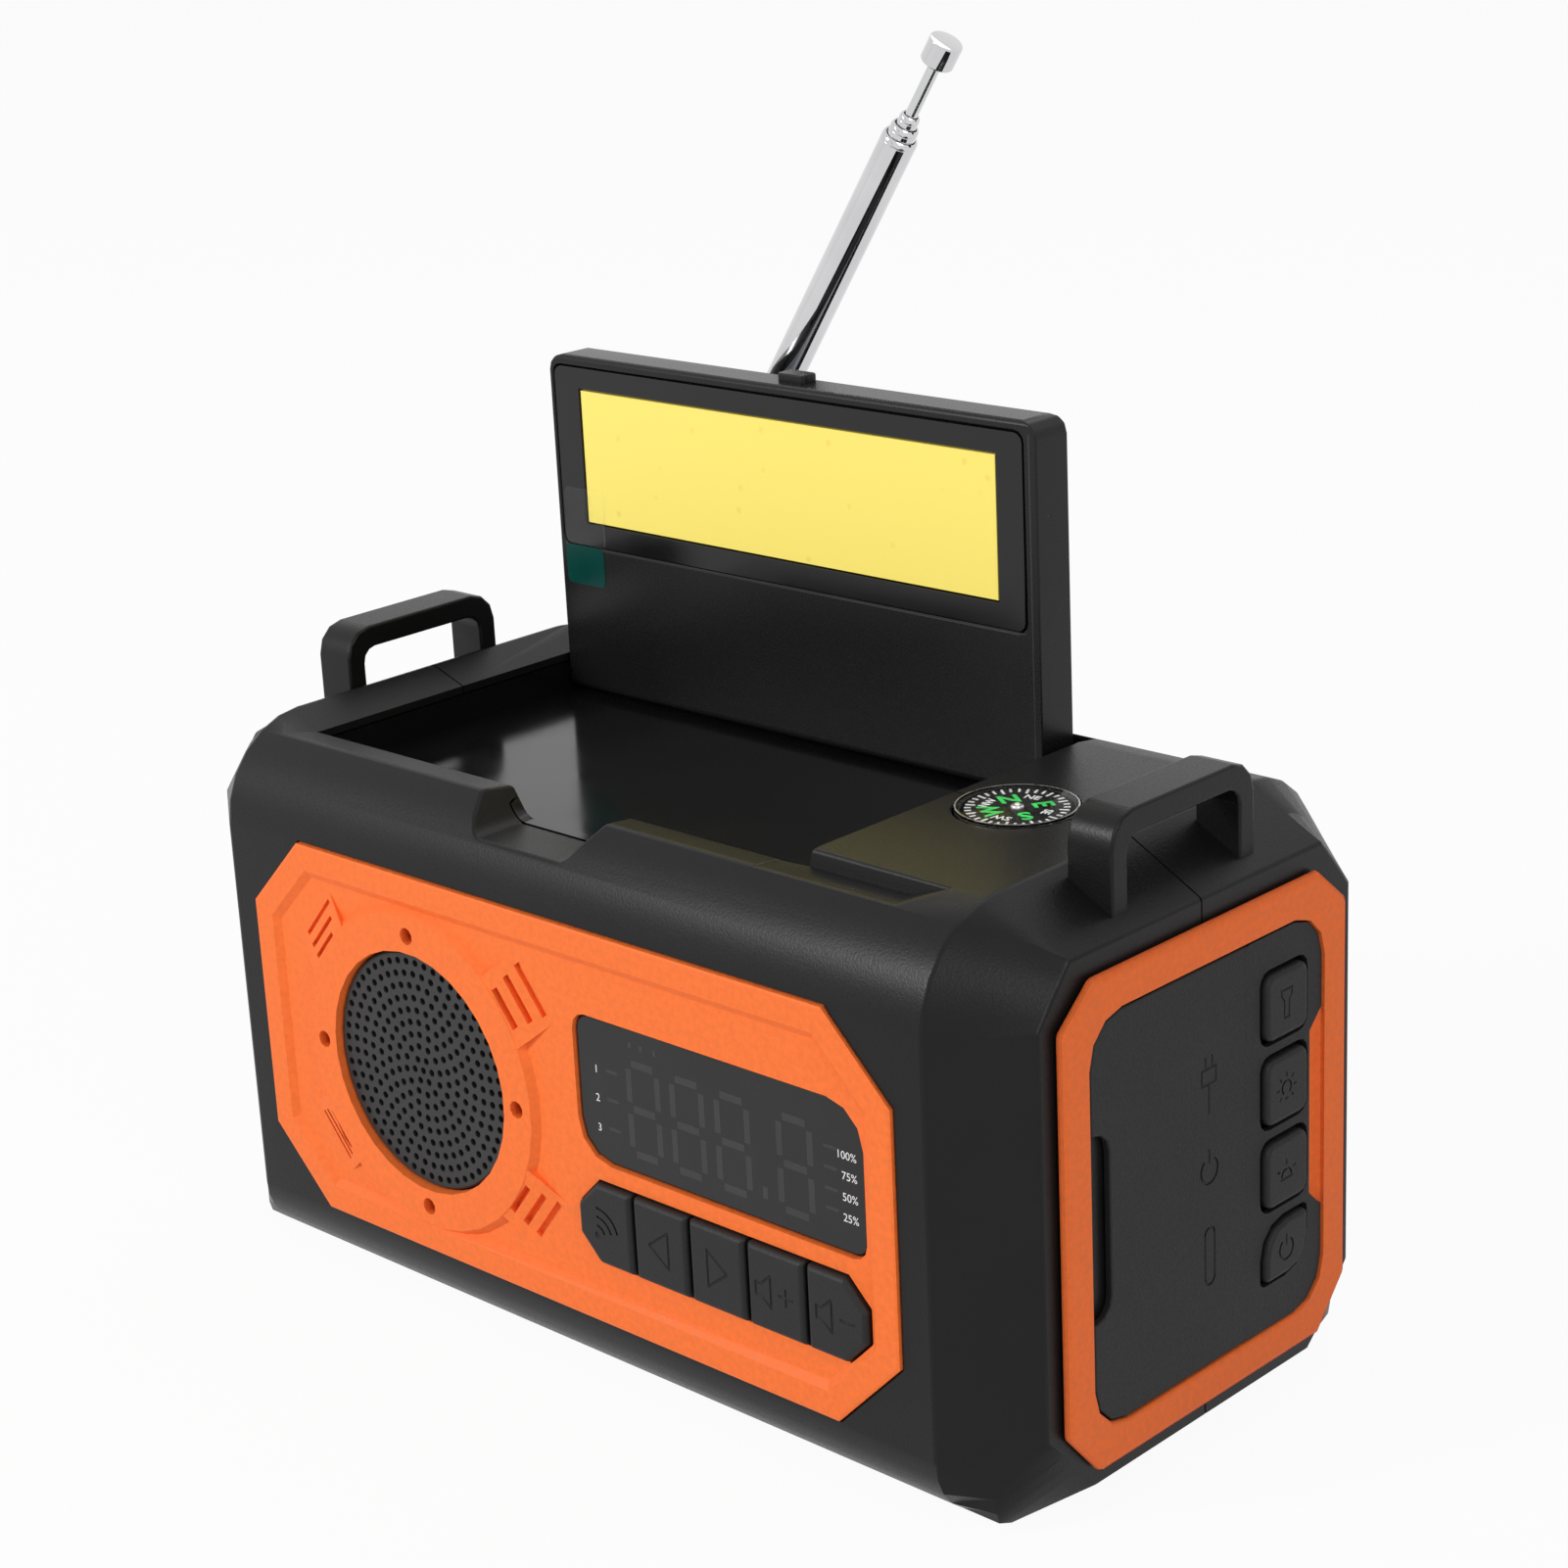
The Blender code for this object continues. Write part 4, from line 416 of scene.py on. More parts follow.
def settled(piece, name, finish, body, *nodes, slot=None, smooth=38.0):
    """Puts a piece's place in its mesh, and gives it its name, its finish and, when one is given, its body.
    """
    pick(piece)
    applied()
    bpy.ops.object.shade_smooth_by_angle(angle=math.radians(smooth))
    modified(piece, "WEIGHTED_NORMAL", keep_sharp=True)
    piece.name = name
    piece.data.name = name
    piece.data.materials.clear()
    piece.data.materials.append(finishes[finish])
    if body:
        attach(piece, body)
    if nodes:
        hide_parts(*nodes)
    return piece


def body_of(node):
    """The body that carries a CAD node."""
    return frame["nodes"][node]["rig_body"]


def traced(node, flatten=True):
    """A copy of a CAD node as one clean mesh, to be rounded and finished."""
    source = frame["nodes"][node]
    if source.hide_viewport:
        raise RuntimeError(f"{node} was already replaced")
    pick(source)
    bpy.ops.object.duplicate()
    piece = bpy.context.object
    piece.parent = None
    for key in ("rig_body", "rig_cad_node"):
        if key in piece:
            del piece[key]
    edit(piece)
    bpy.ops.mesh.remove_doubles(threshold=0.00001)
    if flatten:
        bpy.ops.mesh.dissolve_limited(angle_limit=math.radians(0.4))
    done()
    bpy.ops.mesh.customdata_custom_splitnormals_clear()
    return piece


def rounded(node, finish, slot, width, steps=2, angle=30.0, smooth=38.0, wanted=None):
    """A CAD node with its edges rounded, width in mm, and a finish of its own."""
    piece = traced(node)
    softened(piece, width, steps, angle, wanted)
    return settled(piece, node + "_piece", finish, body_of(node), node, slot=slot, smooth=smooth)


def shifted(piece, wanted, move):
    """Moves the faces of a piece that wanted picks by their middle and normal, move in mm."""
    edit(piece)
    bpy.ops.mesh.select_mode(type="FACE")
    bpy.ops.mesh.select_all(action="DESELECT")
    mesh = bmesh.from_edit_mesh(piece.data)
    for face in mesh.faces:
        if wanted(face.calc_center_median() / MM, face.normal):
            face.select_set(True)
    bmesh.update_edit_mesh(piece.data)
    bpy.ops.transform.translate(value=tuple(Vector(move) * MM))
    done()
    return piece


def held(piece, wanted):
    """Opens a piece with the vertices selected that wanted picks by their place in mm."""
    edit(piece)
    bpy.ops.mesh.select_mode(type="VERT")
    bpy.ops.mesh.select_all(action="DESELECT")
    mesh = bmesh.from_edit_mesh(piece.data)
    for vertex in mesh.verts:
        if wanted(vertex.co / MM):
            vertex.select_set(True)
    bmesh.update_edit_mesh(piece.data)


def sunk(piece, face, spot, sign, depth=0.2):
    """Cuts a sign's grooves, depth in mm, into a face of a piece."""
    inward = Vector(FACES[face][2]) * -depth
    cut_out(piece, standing(joined(sign(depth * 2)), face, Vector(spot) + inward), crossing=True)


def coloured(node, finish):
    """A CAD node kept as it is, with a finish of its own."""
    for slot in frame["nodes"][node].material_slots:
        slot.material = finishes[finish]


def centre(node):
    """The middle of a CAD node's box, in mm."""
    low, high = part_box(node)
    return (low + high) / 2 / MM


def standing(piece, face, spot):
    """Lays a piece that was drawn flat on the origin onto a face of the radio, spot in mm."""
    right, up, out = (Vector(axis) for axis in FACES[face])
    turn = Matrix((right, up, out)).transposed().to_4x4()
    piece.matrix_world = Matrix.Translation(Vector(spot) * MM) @ turn
    return piece


def bar(u, v, length, width, height, turn=0.0):
    """A raised bar with soft edges, drawn flat: its middle and sizes in mm, and its turn in degrees."""
    bpy.ops.mesh.primitive_cube_add(size=MM, location=(u * MM, v * MM, height * MM / 2))
    piece = bpy.context.object
    piece.rotation_euler.z = math.radians(turn)
    piece.scale = (length, width, height)
    applied()
    edit(piece)
    bpy.ops.mesh.bevel(offset=min(length, width, height) * 0.3 * MM, segments=1, affect="EDGES")
    done()
    return piece


def hoop(u, v, radius, width, height, start=0.0, sweep=360.0):
    """A raised ring or arc, drawn flat: its middle and sizes in mm, its start and sweep in degrees."""
    steps = max(6, int(36 * sweep / 360))
    bpy.ops.mesh.primitive_plane_add(size=MM, location=(radius * MM, 0, height * MM / 2))
    piece = bpy.context.object
    piece.rotation_euler.x = math.radians(90)
    piece.scale = (width, height, 1)
    applied()
    edit(piece)
    bpy.ops.mesh.spin(
        steps=steps, angle=-math.radians(sweep), center=(0, 0, 0), axis=(0, 0, 1), use_auto_merge=True
    )
    bpy.ops.mesh.select_all(action="SELECT")
    bpy.ops.mesh.remove_doubles(threshold=0.000002)
    bpy.ops.mesh.normals_make_consistent(inside=False)
    done()
    piece.rotation_euler.z = math.radians(start)
    piece.location = (u * MM, v * MM, 0)
    applied()
    return piece


def strokes(points, width, height):
    """Bars along a line of points, drawn flat."""
    bars = []
    for (u0, v0), (u1, v1) in zip(points, points[1:]):
        length = math.hypot(u1 - u0, v1 - v0) + width
        turn = math.degrees(math.atan2(v1 - v0, u1 - u0))
        bars.append(bar((u0 + u1) / 2, (v0 + v1) / 2, length, width, height, turn))
    return bars


def lettered(words, size, height, align="CENTER", bold=0.0):
    """Raised letters or numbers, drawn flat, size and extra weight in mm."""
    bpy.ops.object.text_add()
    text = bpy.context.object
    text.data.body = words
    text.data.size = size * MM
    text.data.extrude = height * MM / 2
    text.data.offset = bold * MM
    text.data.resolution_u = 3
    text.data.align_x = align
    text.data.align_y = "CENTER"
    bpy.ops.object.convert(target="MESH")
    piece = bpy.context.object
    edit(piece)
    bpy.ops.mesh.remove_doubles(threshold=0.000002)
    bpy.ops.transform.translate(value=(0, 0, height * MM / 2))
    done()
    return piece


def turned(profile, sides):
    """A turned solid about the upright axis: a disc extruded through (radius, height) steps in mm."""
    radius, height = profile[0]
    bpy.ops.mesh.primitive_circle_add(vertices=sides, radius=radius * MM, fill_type="NGON")
    piece = bpy.context.object
    piece.location.z = height * MM
    applied()
    edit(piece)
    for next_radius, next_height in profile[1:]:
        bpy.ops.mesh.extrude_region_move(
            TRANSFORM_OT_translate={"value": (0, 0, (next_height - height) * MM)}
        )
        if next_radius != radius:
            share = next_radius / radius
            bpy.ops.transform.resize(value=(share, share, 1), center_override=(0, 0, 0))
        radius, height = next_radius, next_height
    bpy.ops.mesh.select_all(action="SELECT")
    bpy.ops.mesh.normals_make_consistent(inside=False)
    done()
    return piece


# Sizes and colours that a user would change


def length(name, description, default):
    """A size that is given in mm and kept in metres."""
    return bpy.props.FloatProperty(
        name=name, description=description, default=default * MM, subtype="DISTANCE", unit="LENGTH"
    )


def colour(name, description, default):
    """A colour that a user can change."""
    return bpy.props.FloatVectorProperty(
        name=name, description=description, default=default, size=3, min=0, max=1, subtype="COLOR"
    )


class RadioCaseSettings(bpy.types.PropertyGroup):
    edge: length("Casing edge", "Rounding on the casing's moulded edges", 0.5)
    loop_edge: length("Loop edge", "Rounding on the strap loops", 0.5)
    trim_edge: length("Trim edge", "Rounding on the tray, rings and panels", 0.3)
    sign_line: length("Sign line", "Width of the lines of the signs on keys and flap", 0.42)
    case_colour: colour("Casing", "Colour of the moulded casing", (0.0068, 0.0068, 0.007))
    rubber_colour: colour("Rubber", "Colour of the keys, flap and buttons", (0.0125, 0.0123, 0.0124))


class RadioFasciaSettings(bpy.types.PropertyGroup):
    hole: length("Grille hole", "Radius of one hole in the speaker grille", 0.62)
    pitch: length("Grille pitch", "Distance between rings of holes", 2.05)
    rings: bpy.props.IntProperty(name="Grille rings", description="Rings of holes", default=9, min=1)
    digit: length("Digit height", "Height of the display's digits between their bars", 14.7)
    plate_colour: colour("Plate", "Colour of the front plate", (0.93, 0.182, 0.034))
    # Painted shade: the end rings' orange is kept a little darker than the plate's, for the ends that catch
    # less light
    shaded_ring_colour: colour("End rings", "Colour of the end rings", (0.9, 0.17, 0.034))


class RadioLidSettings(bpy.types.PropertyGroup):
    edge: length("Lid edge", "Rounding on the lid's edges", 0.3)
    lamp_colour: colour("Lamp", "Colour of the lamp sheet", (0.93, 0.76, 0.125))
    tab_colour: colour("Film tab", "Colour of the film's pull tab", (0.001, 0.055, 0.045))


class RadioAerialSettings(bpy.types.PropertyGroup):
    edge: length("Fork edge", "Rounding on the fork, pin and tongue", 0.15)
    chrome_colour: colour("Chrome", "Colour of the aerial's plating", (0.62, 0.62, 0.63))


class RadioStageSettings(bpy.types.PropertyGroup):
    lens: bpy.props.FloatProperty(
        name="Lens", description="Focal length in mm on a 36 mm sensor", default=76.08, subtype="NONE"
    )
    place: bpy.props.FloatVectorProperty(
        name="Camera place", description="Where the camera stands", default=(0.3519, -0.3532, 0.2499),
        size=3, subtype="XYZ", unit="LENGTH"
    )
    azimuth: bpy.props.FloatProperty(
        name="Azimuth", description="Camera's turn round the radio", default=math.radians(44.27),
        subtype="ANGLE", unit="ROTATION"
    )
    elevation: bpy.props.FloatProperty(
        name="Elevation", description="Camera's height over the radio", default=math.radians(18.35),
        subtype="ANGLE", unit="ROTATION"
    )
    roll: bpy.props.FloatProperty(
        name="Roll", description="Camera's tilt to one side", default=math.radians(-2.8),
        subtype="ANGLE", unit="ROTATION"
    )
    floor_colour: colour("Floor", "Colour of the floor", (0.9, 0.9, 0.9))


# Pieces


class RADIO_OT_finishes(bpy.types.Operator):
    """Makes the materials that the pieces share"""

    bl_idname = "radio.finishes"
    bl_label = "Finishes"

    def execute(self, context):
        scene = context.scene
        made = make_finishes(scene.radio_case, scene.radio_fascia, scene.radio_lid, scene.radio_aerial)
        finishes.update(made)
        return {"FINISHED"}


class RADIO_OT_case(bpy.types.Operator):
    """Rounds and finishes the two casing halves, the strap loops and the screws"""

    bl_idname = "radio.case"
    bl_label = "Casing"

    def execute(self, context):
        settings = context.scene.radio_case
        for node in ("front_shell", "rear_shell"):
            rounded(
                node, "case", "black_plastic", settings.edge / MM,
                steps=3, angle=24.0, smooth=30.0, wanted=self.outside,
            )
        for node in ("strap_loop_left", "strap_loop_right"):
            self.loop(node, settings.loop_edge / MM)
        for number in (1, 2, 3, 4):
            rounded(f"rear_screw_{number}", "steel", "steel", 0.15)
        return {"FINISHED"}

    def outside(self, middle, facing):
        """Is an edge on the casing's outside, and clear of the seam and the soft lower corners?"""
        heart = Vector((0, 0, 46))
        seam = 1.0
        corner_reach = 74
        corner_height = 18
        low_corner = abs(middle.x) > corner_reach and middle.z < corner_height
        outward = facing.dot(middle - heart) > 0
        return abs(middle.y) > seam and outward and not low_corner

    def loop(self, node, edge):
        """A strap loop with round edges, its feet sunk into the casing."""
        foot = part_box(node)[0].z / MM
        leg = foot + 6.5
        sole = foot + 5.0
        sink = 0.6
        piece = traced(node)
        softened(
            piece, edge, steps=4, angle=40.0,
            wanted=lambda middle, facing: middle.z > leg or abs(facing.z) < 0.3,
        )
        shifted(piece, lambda middle, normal: middle.z < sole and normal.z < -0.5, (0, 0, -sink))
        settled(piece, node + "_piece", "case", "radio", node, slot="black_plastic")


class RADIO_OT_fascia(bpy.types.Operator):
    """Finishes the front plate and models the fine speaker grille and the ring's posts"""

    bl_idname = "radio.fascia"
    bl_label = "Front plate and grille"

    def execute(self, context):
        settings = context.scene.radio_fascia
        plate = traced("front_plate", flatten=False)
        self.raise_ears(plate)
        settled(
            plate, "front_plate_piece", "plate", "radio", "front_plate",
            slot="orange_plastic", smooth=15.0,
        )
        self.grille(settings)
        self.posts()
        return {"FINISHED"}

    def raise_ears(self, plate):
        """Lifts the speaker's ring and ears, which stand on the field inside the border."""
        field = -45.7
        border = -46.6
        lift = 1.5
        held(plate, lambda spot: border + 0.05 < spot.y < field - 0.01)
        bpy.ops.transform.resize(value=(1, lift, 1), center_override=(0, field * MM, 0))
        done()

    def grille(self, settings):
        """The grille's disc, with rings of holes that swirl round its middle."""
        edge = 0.3
        swirl = 4.0
        low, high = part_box("speaker_grille")
        spot = centre("speaker_grille")
        radius = (high.x - low.x) / 2 / MM
        depth = (high.y - low.y) / MM
        disc = turned(((radius, 0), (radius, depth - edge), (radius - edge, depth)), 96)
        cutters = []
        for ring in range(settings.rings + 1):
            bpy.ops.mesh.primitive_cylinder_add(
                vertices=10,
                radius=settings.hole,
                depth=(depth + 2) * MM,
                location=(ring * settings.pitch, 0, depth * MM / 2),
            )
            hole = bpy.context.object
            applied()
            if ring:
                edit(hole)
                bpy.ops.mesh.spin(
                    steps=6 * ring, dupli=True, angle=math.tau, center=(0, 0, 0), axis=(0, 0, 1)
                )
                bpy.ops.mesh.select_all(action="SELECT")
                bpy.ops.mesh.remove_doubles(threshold=0.000002)
                done()
                hole.rotation_euler.z = math.radians(swirl * ring)
                applied()
            cutters.append(hole)
        cut_out(disc, joined(cutters))
        standing(disc, "front", (spot.x, high.y / MM, spot.z))
        settled(disc, "speaker_grille_piece", "grille", "radio", "speaker_grille", slot="black_plastic")

    def posts(self):
        """The four small posts that show in the holes of the speaker's ring."""
        ring_middle = 3.2
        profile = ((0.8, 0), (0.8, 0.75), (0.55, 1.0))
        low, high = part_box("speaker_grille")
        spot = centre("speaker_grille")
        reach = (high.x - low.x) / 2 / MM + ring_middle
        made = []
        for step in range(4):
            post = turned(profile, 16)
            u, v = around(90 * step)
            post.location = (reach * u * MM, reach * v * MM, 0)
            applied()
            made.append(post)
        posts = standing(joined(made), "front", (spot.x, high.y / MM + 0.2, spot.z))
        settled(posts, "ring_posts", "case", "radio", slot="black_plastic")


class RADIO_OT_display(bpy.types.Operator):
    """Finishes the display window and models its digits, marks and numbers"""

    bl_idname = "radio.display"
    bl_label = "Display"

    # Thickness in mm of what is printed on the window, half of it sunk in
    thick = 0.03

    def execute(self, context):
        rounded("display_window", "window", "smoked_window", 0.2)
        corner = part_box("display_window")[0] / MM
        place = (0, corner.y + self.thick / 2, 0)
        segments = self.segments(corner.x, corner.z, context.scene.radio_fascia.digit / MM)
        ghost = standing(joined(segments), "front", place)
        settled(ghost, "display_segments", "ghost", "radio", slot="smoked_window")
        marks = standing(joined(self.prints(corner.x, corner.z)), "front", place)
        settled(marks, "display_print", "print", "radio", slot="smoked_window")
        return {"FINISHED"}

    def segments(self, left, base, size):
        """The unlit segments: four digits and their point, a row of dots, and marks beside the numbers."""
        digit_columns = (14.0, 23.2, 32.4, 44.8)
        digit_row = 10.6
        point_column = 38.5
        point_row = 4.7
        dot_columns = (11.6, 14.0, 16.8)
        dot_row = 20.9
        left_marks = (7.3, (15.4, 10.7, 5.9))
        right_marks = (51.7, (15.7, 12.5, 9.2, 6.1))
        made = []
        for column in digit_columns:
            made += self.digit(left + column, base + digit_row, size)
        made.append(bar(left + point_column, base + point_row, 1.0, 1.9, self.thick))
        for column in dot_columns:
            made.append(bar(left + column, base + dot_row, 0.6, 0.9, self.thick))
        for column, rows in (left_marks, right_marks):
            for row in rows:
                made.append(bar(left + column, base + row, 2.5, 0.5, self.thick))
        return made

    def prints(self, left, base):
        """The printed numbers in two columns."""
        left_end = left + 4.4
        right_end = left + 56.8
        made = []
        for row, words in ((15.1, "1"), (10.4, "2"), (5.5, "3")):
            made.append(self.number(words, left_end, base + row))
        for row, words in ((15.1, "100%"), (11.9, "75%"), (8.6, "50%"), (5.4, "25%")):
            made.append(self.number(words, right_end, base + row))
        return made

    def digit(self, u, v, size):
        """The seven segments of one digit."""
        half = size * 0.205
        stroke = size * 0.08
        made = [bar(u, v + shift * size / 2, half * 1.5, stroke, self.thick) for shift in (-1, 0, 1)]
        for side in (-1, 1):
            for shift in (-1, 1):
                made.append(bar(u + side * half, v + shift * size / 4, stroke, size * 0.36, self.thick))
        return made

    def number(self, words, u, v):
        """A small printed number that ends at u."""
        piece = lettered(words, 1.8, self.thick, "RIGHT")
        piece.location = (u * MM, v * MM, 0)
        applied()
        return piece


class RADIO_OT_front_keys(bpy.types.Operator):
    """Rounds the five front keys and models the signs on them"""

    bl_idname = "radio.front_keys"
    bl_label = "Front keys"

    def execute(self, context):
        line = context.scene.radio_case.sign_line / MM
        for node in ("mode_key", "tune_down_key", "tune_up_key", "volume_up_key", "volume_down_key"):
            key = traced(node)
            softened(key, 0.3, steps=3, angle=28.0)
            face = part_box(node)[0].y / MM
            spot = centre(node)
            sunk(key, "front", (spot.x, face, spot.z), lambda rise: self.sign(node, line, rise))
            settled(key, node + "_piece", "key", body_of(node), node, slot="black_rubber")
        return {"FINISHED"}

    def sign(self, node, line, rise):
        """A thin sign: waves, an arrow, or a horn with plus or minus."""
        if node == "mode_key":
            u, v = -1.6, -1.8
            waves = [hoop(u, v, radius, line, rise, start=15, sweep=75) for radius in (1.6, 3.1, 4.6)]
            return waves + [bar(u, v, 1.0, 1.0, rise)]
        if node == "tune_down_key":
            return strokes(((1.8, 3.0), (-2.2, 0), (1.8, -3.0), (1.8, 3.0)), line, rise)
        if node == "tune_up_key":
            return strokes(((-1.8, 3.0), (2.2, 0), (-1.8, -3.0), (-1.8, 3.0)), line, rise)
        horn = (
            (-3.8, 1.0), (-2.6, 1.0), (-0.8, 2.6), (-0.8, -2.6), (-2.6, -1.0), (-3.8, -1.0), (-3.8, 1.0),
        )
        made = strokes(horn, line, rise) + [bar(2.2, 0, 3.0, line, rise)]
        if node == "volume_up_key":
            made.append(bar(2.2, 0, line, 3.0, rise))
        return made


class RADIO_OT_side_panel(bpy.types.Operator):
    """Finishes the right end: its ring, rubber flap and strip, and the four buttons"""

    bl_idname = "radio.side_panel"
    bl_label = "Side panel"

    def execute(self, context):
        edge = context.scene.radio_case.trim_edge / MM
        line = context.scene.radio_case.sign_line / MM
        self.ring(edge * 2)
        self.flap(edge, line)
        strip = traced("side_keypad", flatten=False)
        settled(
            strip, "side_keypad_piece", "rubber", "radio", "side_keypad", slot="black_rubber", smooth=20.0
        )
        self.fold_web()
        for node in ("torch_button", "lamp_button", "alarm_button", "power_button"):
            self.button(node, line * 0.85)
        coloured("port_panel", "satin")
        for node in ("usb_a_socket", "type_c_socket"):
            coloured(node, "steel")
        return {"FINISHED"}

    def ring(self, edge):
        """The end ring with round edges, save beside its tooth, whose face is cut back."""
        tooth_front = 24.0
        tooth_rear = 28.0
        tooth_middle = (25.87, 43.9)
        tooth_size = (3.76, 32.2, 1.6)
        tooth_floor = 89.1
        ring = traced("right_ring")
        softened(
            ring, edge, steps=4, angle=24.0,
            wanted=lambda middle, facing: middle.y < tooth_front or middle.y > tooth_rear,
        )
        cut_out(ring, standing(bar(*tooth_middle, *tooth_size), "right", (tooth_floor, 0, 0)))
        settled(ring, "right_ring_piece", "ring", "radio", "right_ring", slot="orange_plastic")

    def flap(self, edge, line):
        """The rubber flap, rounded save along its fold, with three signs in a column."""
        rim = 89.5
        column = -0.5
        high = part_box("side_flap")[1] / MM
        fold = high.y - 0.5
        flap = traced("side_flap")
        softened(
            flap, edge, steps=3, angle=28.0,
            wanted=lambda middle, facing: middle.x > rim and middle.y < fold,
        )
        for name, up in (("plug", 57.0), ("lead", 43.9), ("slot", 30.0)):
            sunk(flap, "right", (high.x, column, up), lambda rise: self.port_sign(name, line, rise))
        settled(flap, "side_flap_piece", "rubber", "flap", "side_flap", slot="black_rubber")

    def button(self, node, line):
        """A pillowed button, a groove's width smaller than its hole, with its sign sunk in."""
        pillow = 0.45
        groove = 0.9
        sign_shift = 0.4
        low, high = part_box(node)
        spot = centre(node)
        button = traced(node)
        softened(button, pillow, steps=3, angle=28.0)
        share = 1 - groove * MM / (high.y - low.y)
        edit(button)
        bpy.ops.transform.resize(value=(1, share, share), center_override=tuple(spot * MM))
        done()
        place = (high.x / MM, spot.y - sign_shift, spot.z)
        sunk(button, "right", place, lambda rise: self.button_sign(node, line, rise))
        settled(button, node + "_piece", "key", body_of(node), node, slot="black_rubber")

    def fold_web(self):
        """The thin rubber web that joins the flap to the strip, cut across into strips."""
        overlap = 0.3 * MM
        inset = 0.1 * MM
        thick = 0.5 * MM
        sink = 0.24 * MM
        strips = 6
        flap_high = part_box("side_flap")[1]
        strip_low, strip_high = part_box("side_keypad")
        front, back = flap_high.y - overlap, strip_low.y + overlap
        low, high = strip_low.z + inset, strip_high.z - inset
        face = flap_high.x
        bpy.ops.mesh.primitive_cube_add(size=1.0)
        web = bpy.context.object
        web.scale = (thick, back - front, high - low)
        web.location = (face - sink, (front + back) / 2, (low + high) / 2)
        applied()
        for step in range(1, strips):
            edit(web)
            bpy.ops.mesh.bisect(
                plane_co=(face, front + (back - front) * step / strips, low), plane_no=(0, 1, 0)
            )
            done()
        settled(web, "flap_web", "rubber", None, slot="black_rubber")
        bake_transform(web)

    def port_sign(self, name, line, rise):
        """The sign over one socket: a plug, a lead or a rounded slot."""
        if name == "plug":
            pins = [bar(side * 0.8, 3.6, line, 2.0, rise) for side in (-1, 1)]
            body = strokes(((-1.7, 2.6), (1.7, 2.6), (1.7, 0.2), (-1.7, 0.2), (-1.7, 2.6)), line, rise)
            return pins + body + [bar(0, -2.2, line, 4.8, rise)]
        if name == "lead":
            return [hoop(0, -0.3, 2.0, line, rise, start=125, sweep=290), bar(0, 1.9, line, 2.4, rise)]
        half = 3.4
        radius = 1.15
        ends = [
            hoop(0, half, radius, line, rise, start=0, sweep=180),
            hoop(0, -half, radius, line, rise, start=180, sweep=180),
        ]
        return ends + [bar(side * radius, 0, line, half * 2, rise) for side in (-1, 1)]

    def button_sign(self, node, line, rise):
        """The sign on one button: a torch, a lamp, an alarm or a power sign."""
        if node == "torch_button":
            outline = (
                (-0.6, -2.2), (0.6, -2.2), (0.6, 0.5), (1.3, 1.3), (1.3, 2.2), (-1.3, 2.2), (-1.3, 1.3),
                (-0.6, 0.5), (-0.6, -2.2),
            )
            return strokes(outline, line, rise)
        if node == "lamp_button":
            made = [hoop(0, 0, 1.1, line, rise, start=-50, sweep=280), bar(0, -1.7, 1.0, line, rise)]
            for step in range(7):
                turn = 270 + 45 * (step + 1)
                u, v = around(turn)
                made.append(bar(2.1 * u, 2.1 * v, 0.8, line, rise, turn))
            return made
        if node == "alarm_button":
            made = [hoop(0, -0.9, 1.2, line, rise, start=0, sweep=180), bar(0, -1.2, 3.2, line, rise)]
            for turn in (30, 90, 150):
                u, v = around(turn)
                made.append(bar(2.3 * u, 2.3 * v - 0.9, 0.9, line, rise, turn))
            return made
        return [hoop(0, -0.2, 1.7, line, rise, start=125, sweep=290), bar(0, 1.3, line, 2.0, rise)]


class RADIO_OT_torch(bpy.types.Operator):
    """Finishes the torch on the left end"""

    bl_idname = "radio.torch"
    bl_label = "Torch"

    def execute(self, context):
        edge = context.scene.radio_case.trim_edge / MM
        rounded("left_ring", "ring", "orange_plastic", edge * 2, steps=4, angle=24.0)
        rounded("torch_panel", "rubber", "black_rubber", edge, steps=3, angle=28.0)
        rounded("torch_lens", "lens", "clear", 0.35, steps=3, angle=28.0)
        coloured("torch_reflector", "mirror")
        coloured("torch_led_board", "print")
        return {"FINISHED"}


class RADIO_OT_tray(bpy.types.Operator):
    """Finishes the glossy tray under the lid"""

    bl_idname = "radio.tray"
    bl_label = "Tray"

    def execute(self, context):
        tray = traced("top_tray", flatten=False)
        self.close_rim(tray)
        settled(tray, "top_tray_piece", "gloss", "radio", "top_tray", slot="gloss_black", smooth=20.0)
        return {"FINISHED"}

    def close_rim(self, tray):
        """Lifts the front wall's sloped rim up under the casing, to close the gap in the finger notch."""
        wall = -33.5
        rim_low = 86.0
        rim_high = 86.3
        lift = 0.9
        notch = -7.3
        lean = 0.62
        spans = ((-80, -30, 0), (-30, notch, -lean), (notch, 20, lean), (20, 80, 0))
        for start, end, across in spans:
            held(tray, lambda spot: start < spot.x < end and spot.y < wall and rim_low < spot.z < rim_high)
            bpy.ops.transform.translate(value=(across * MM, 0, lift * MM))
            done()


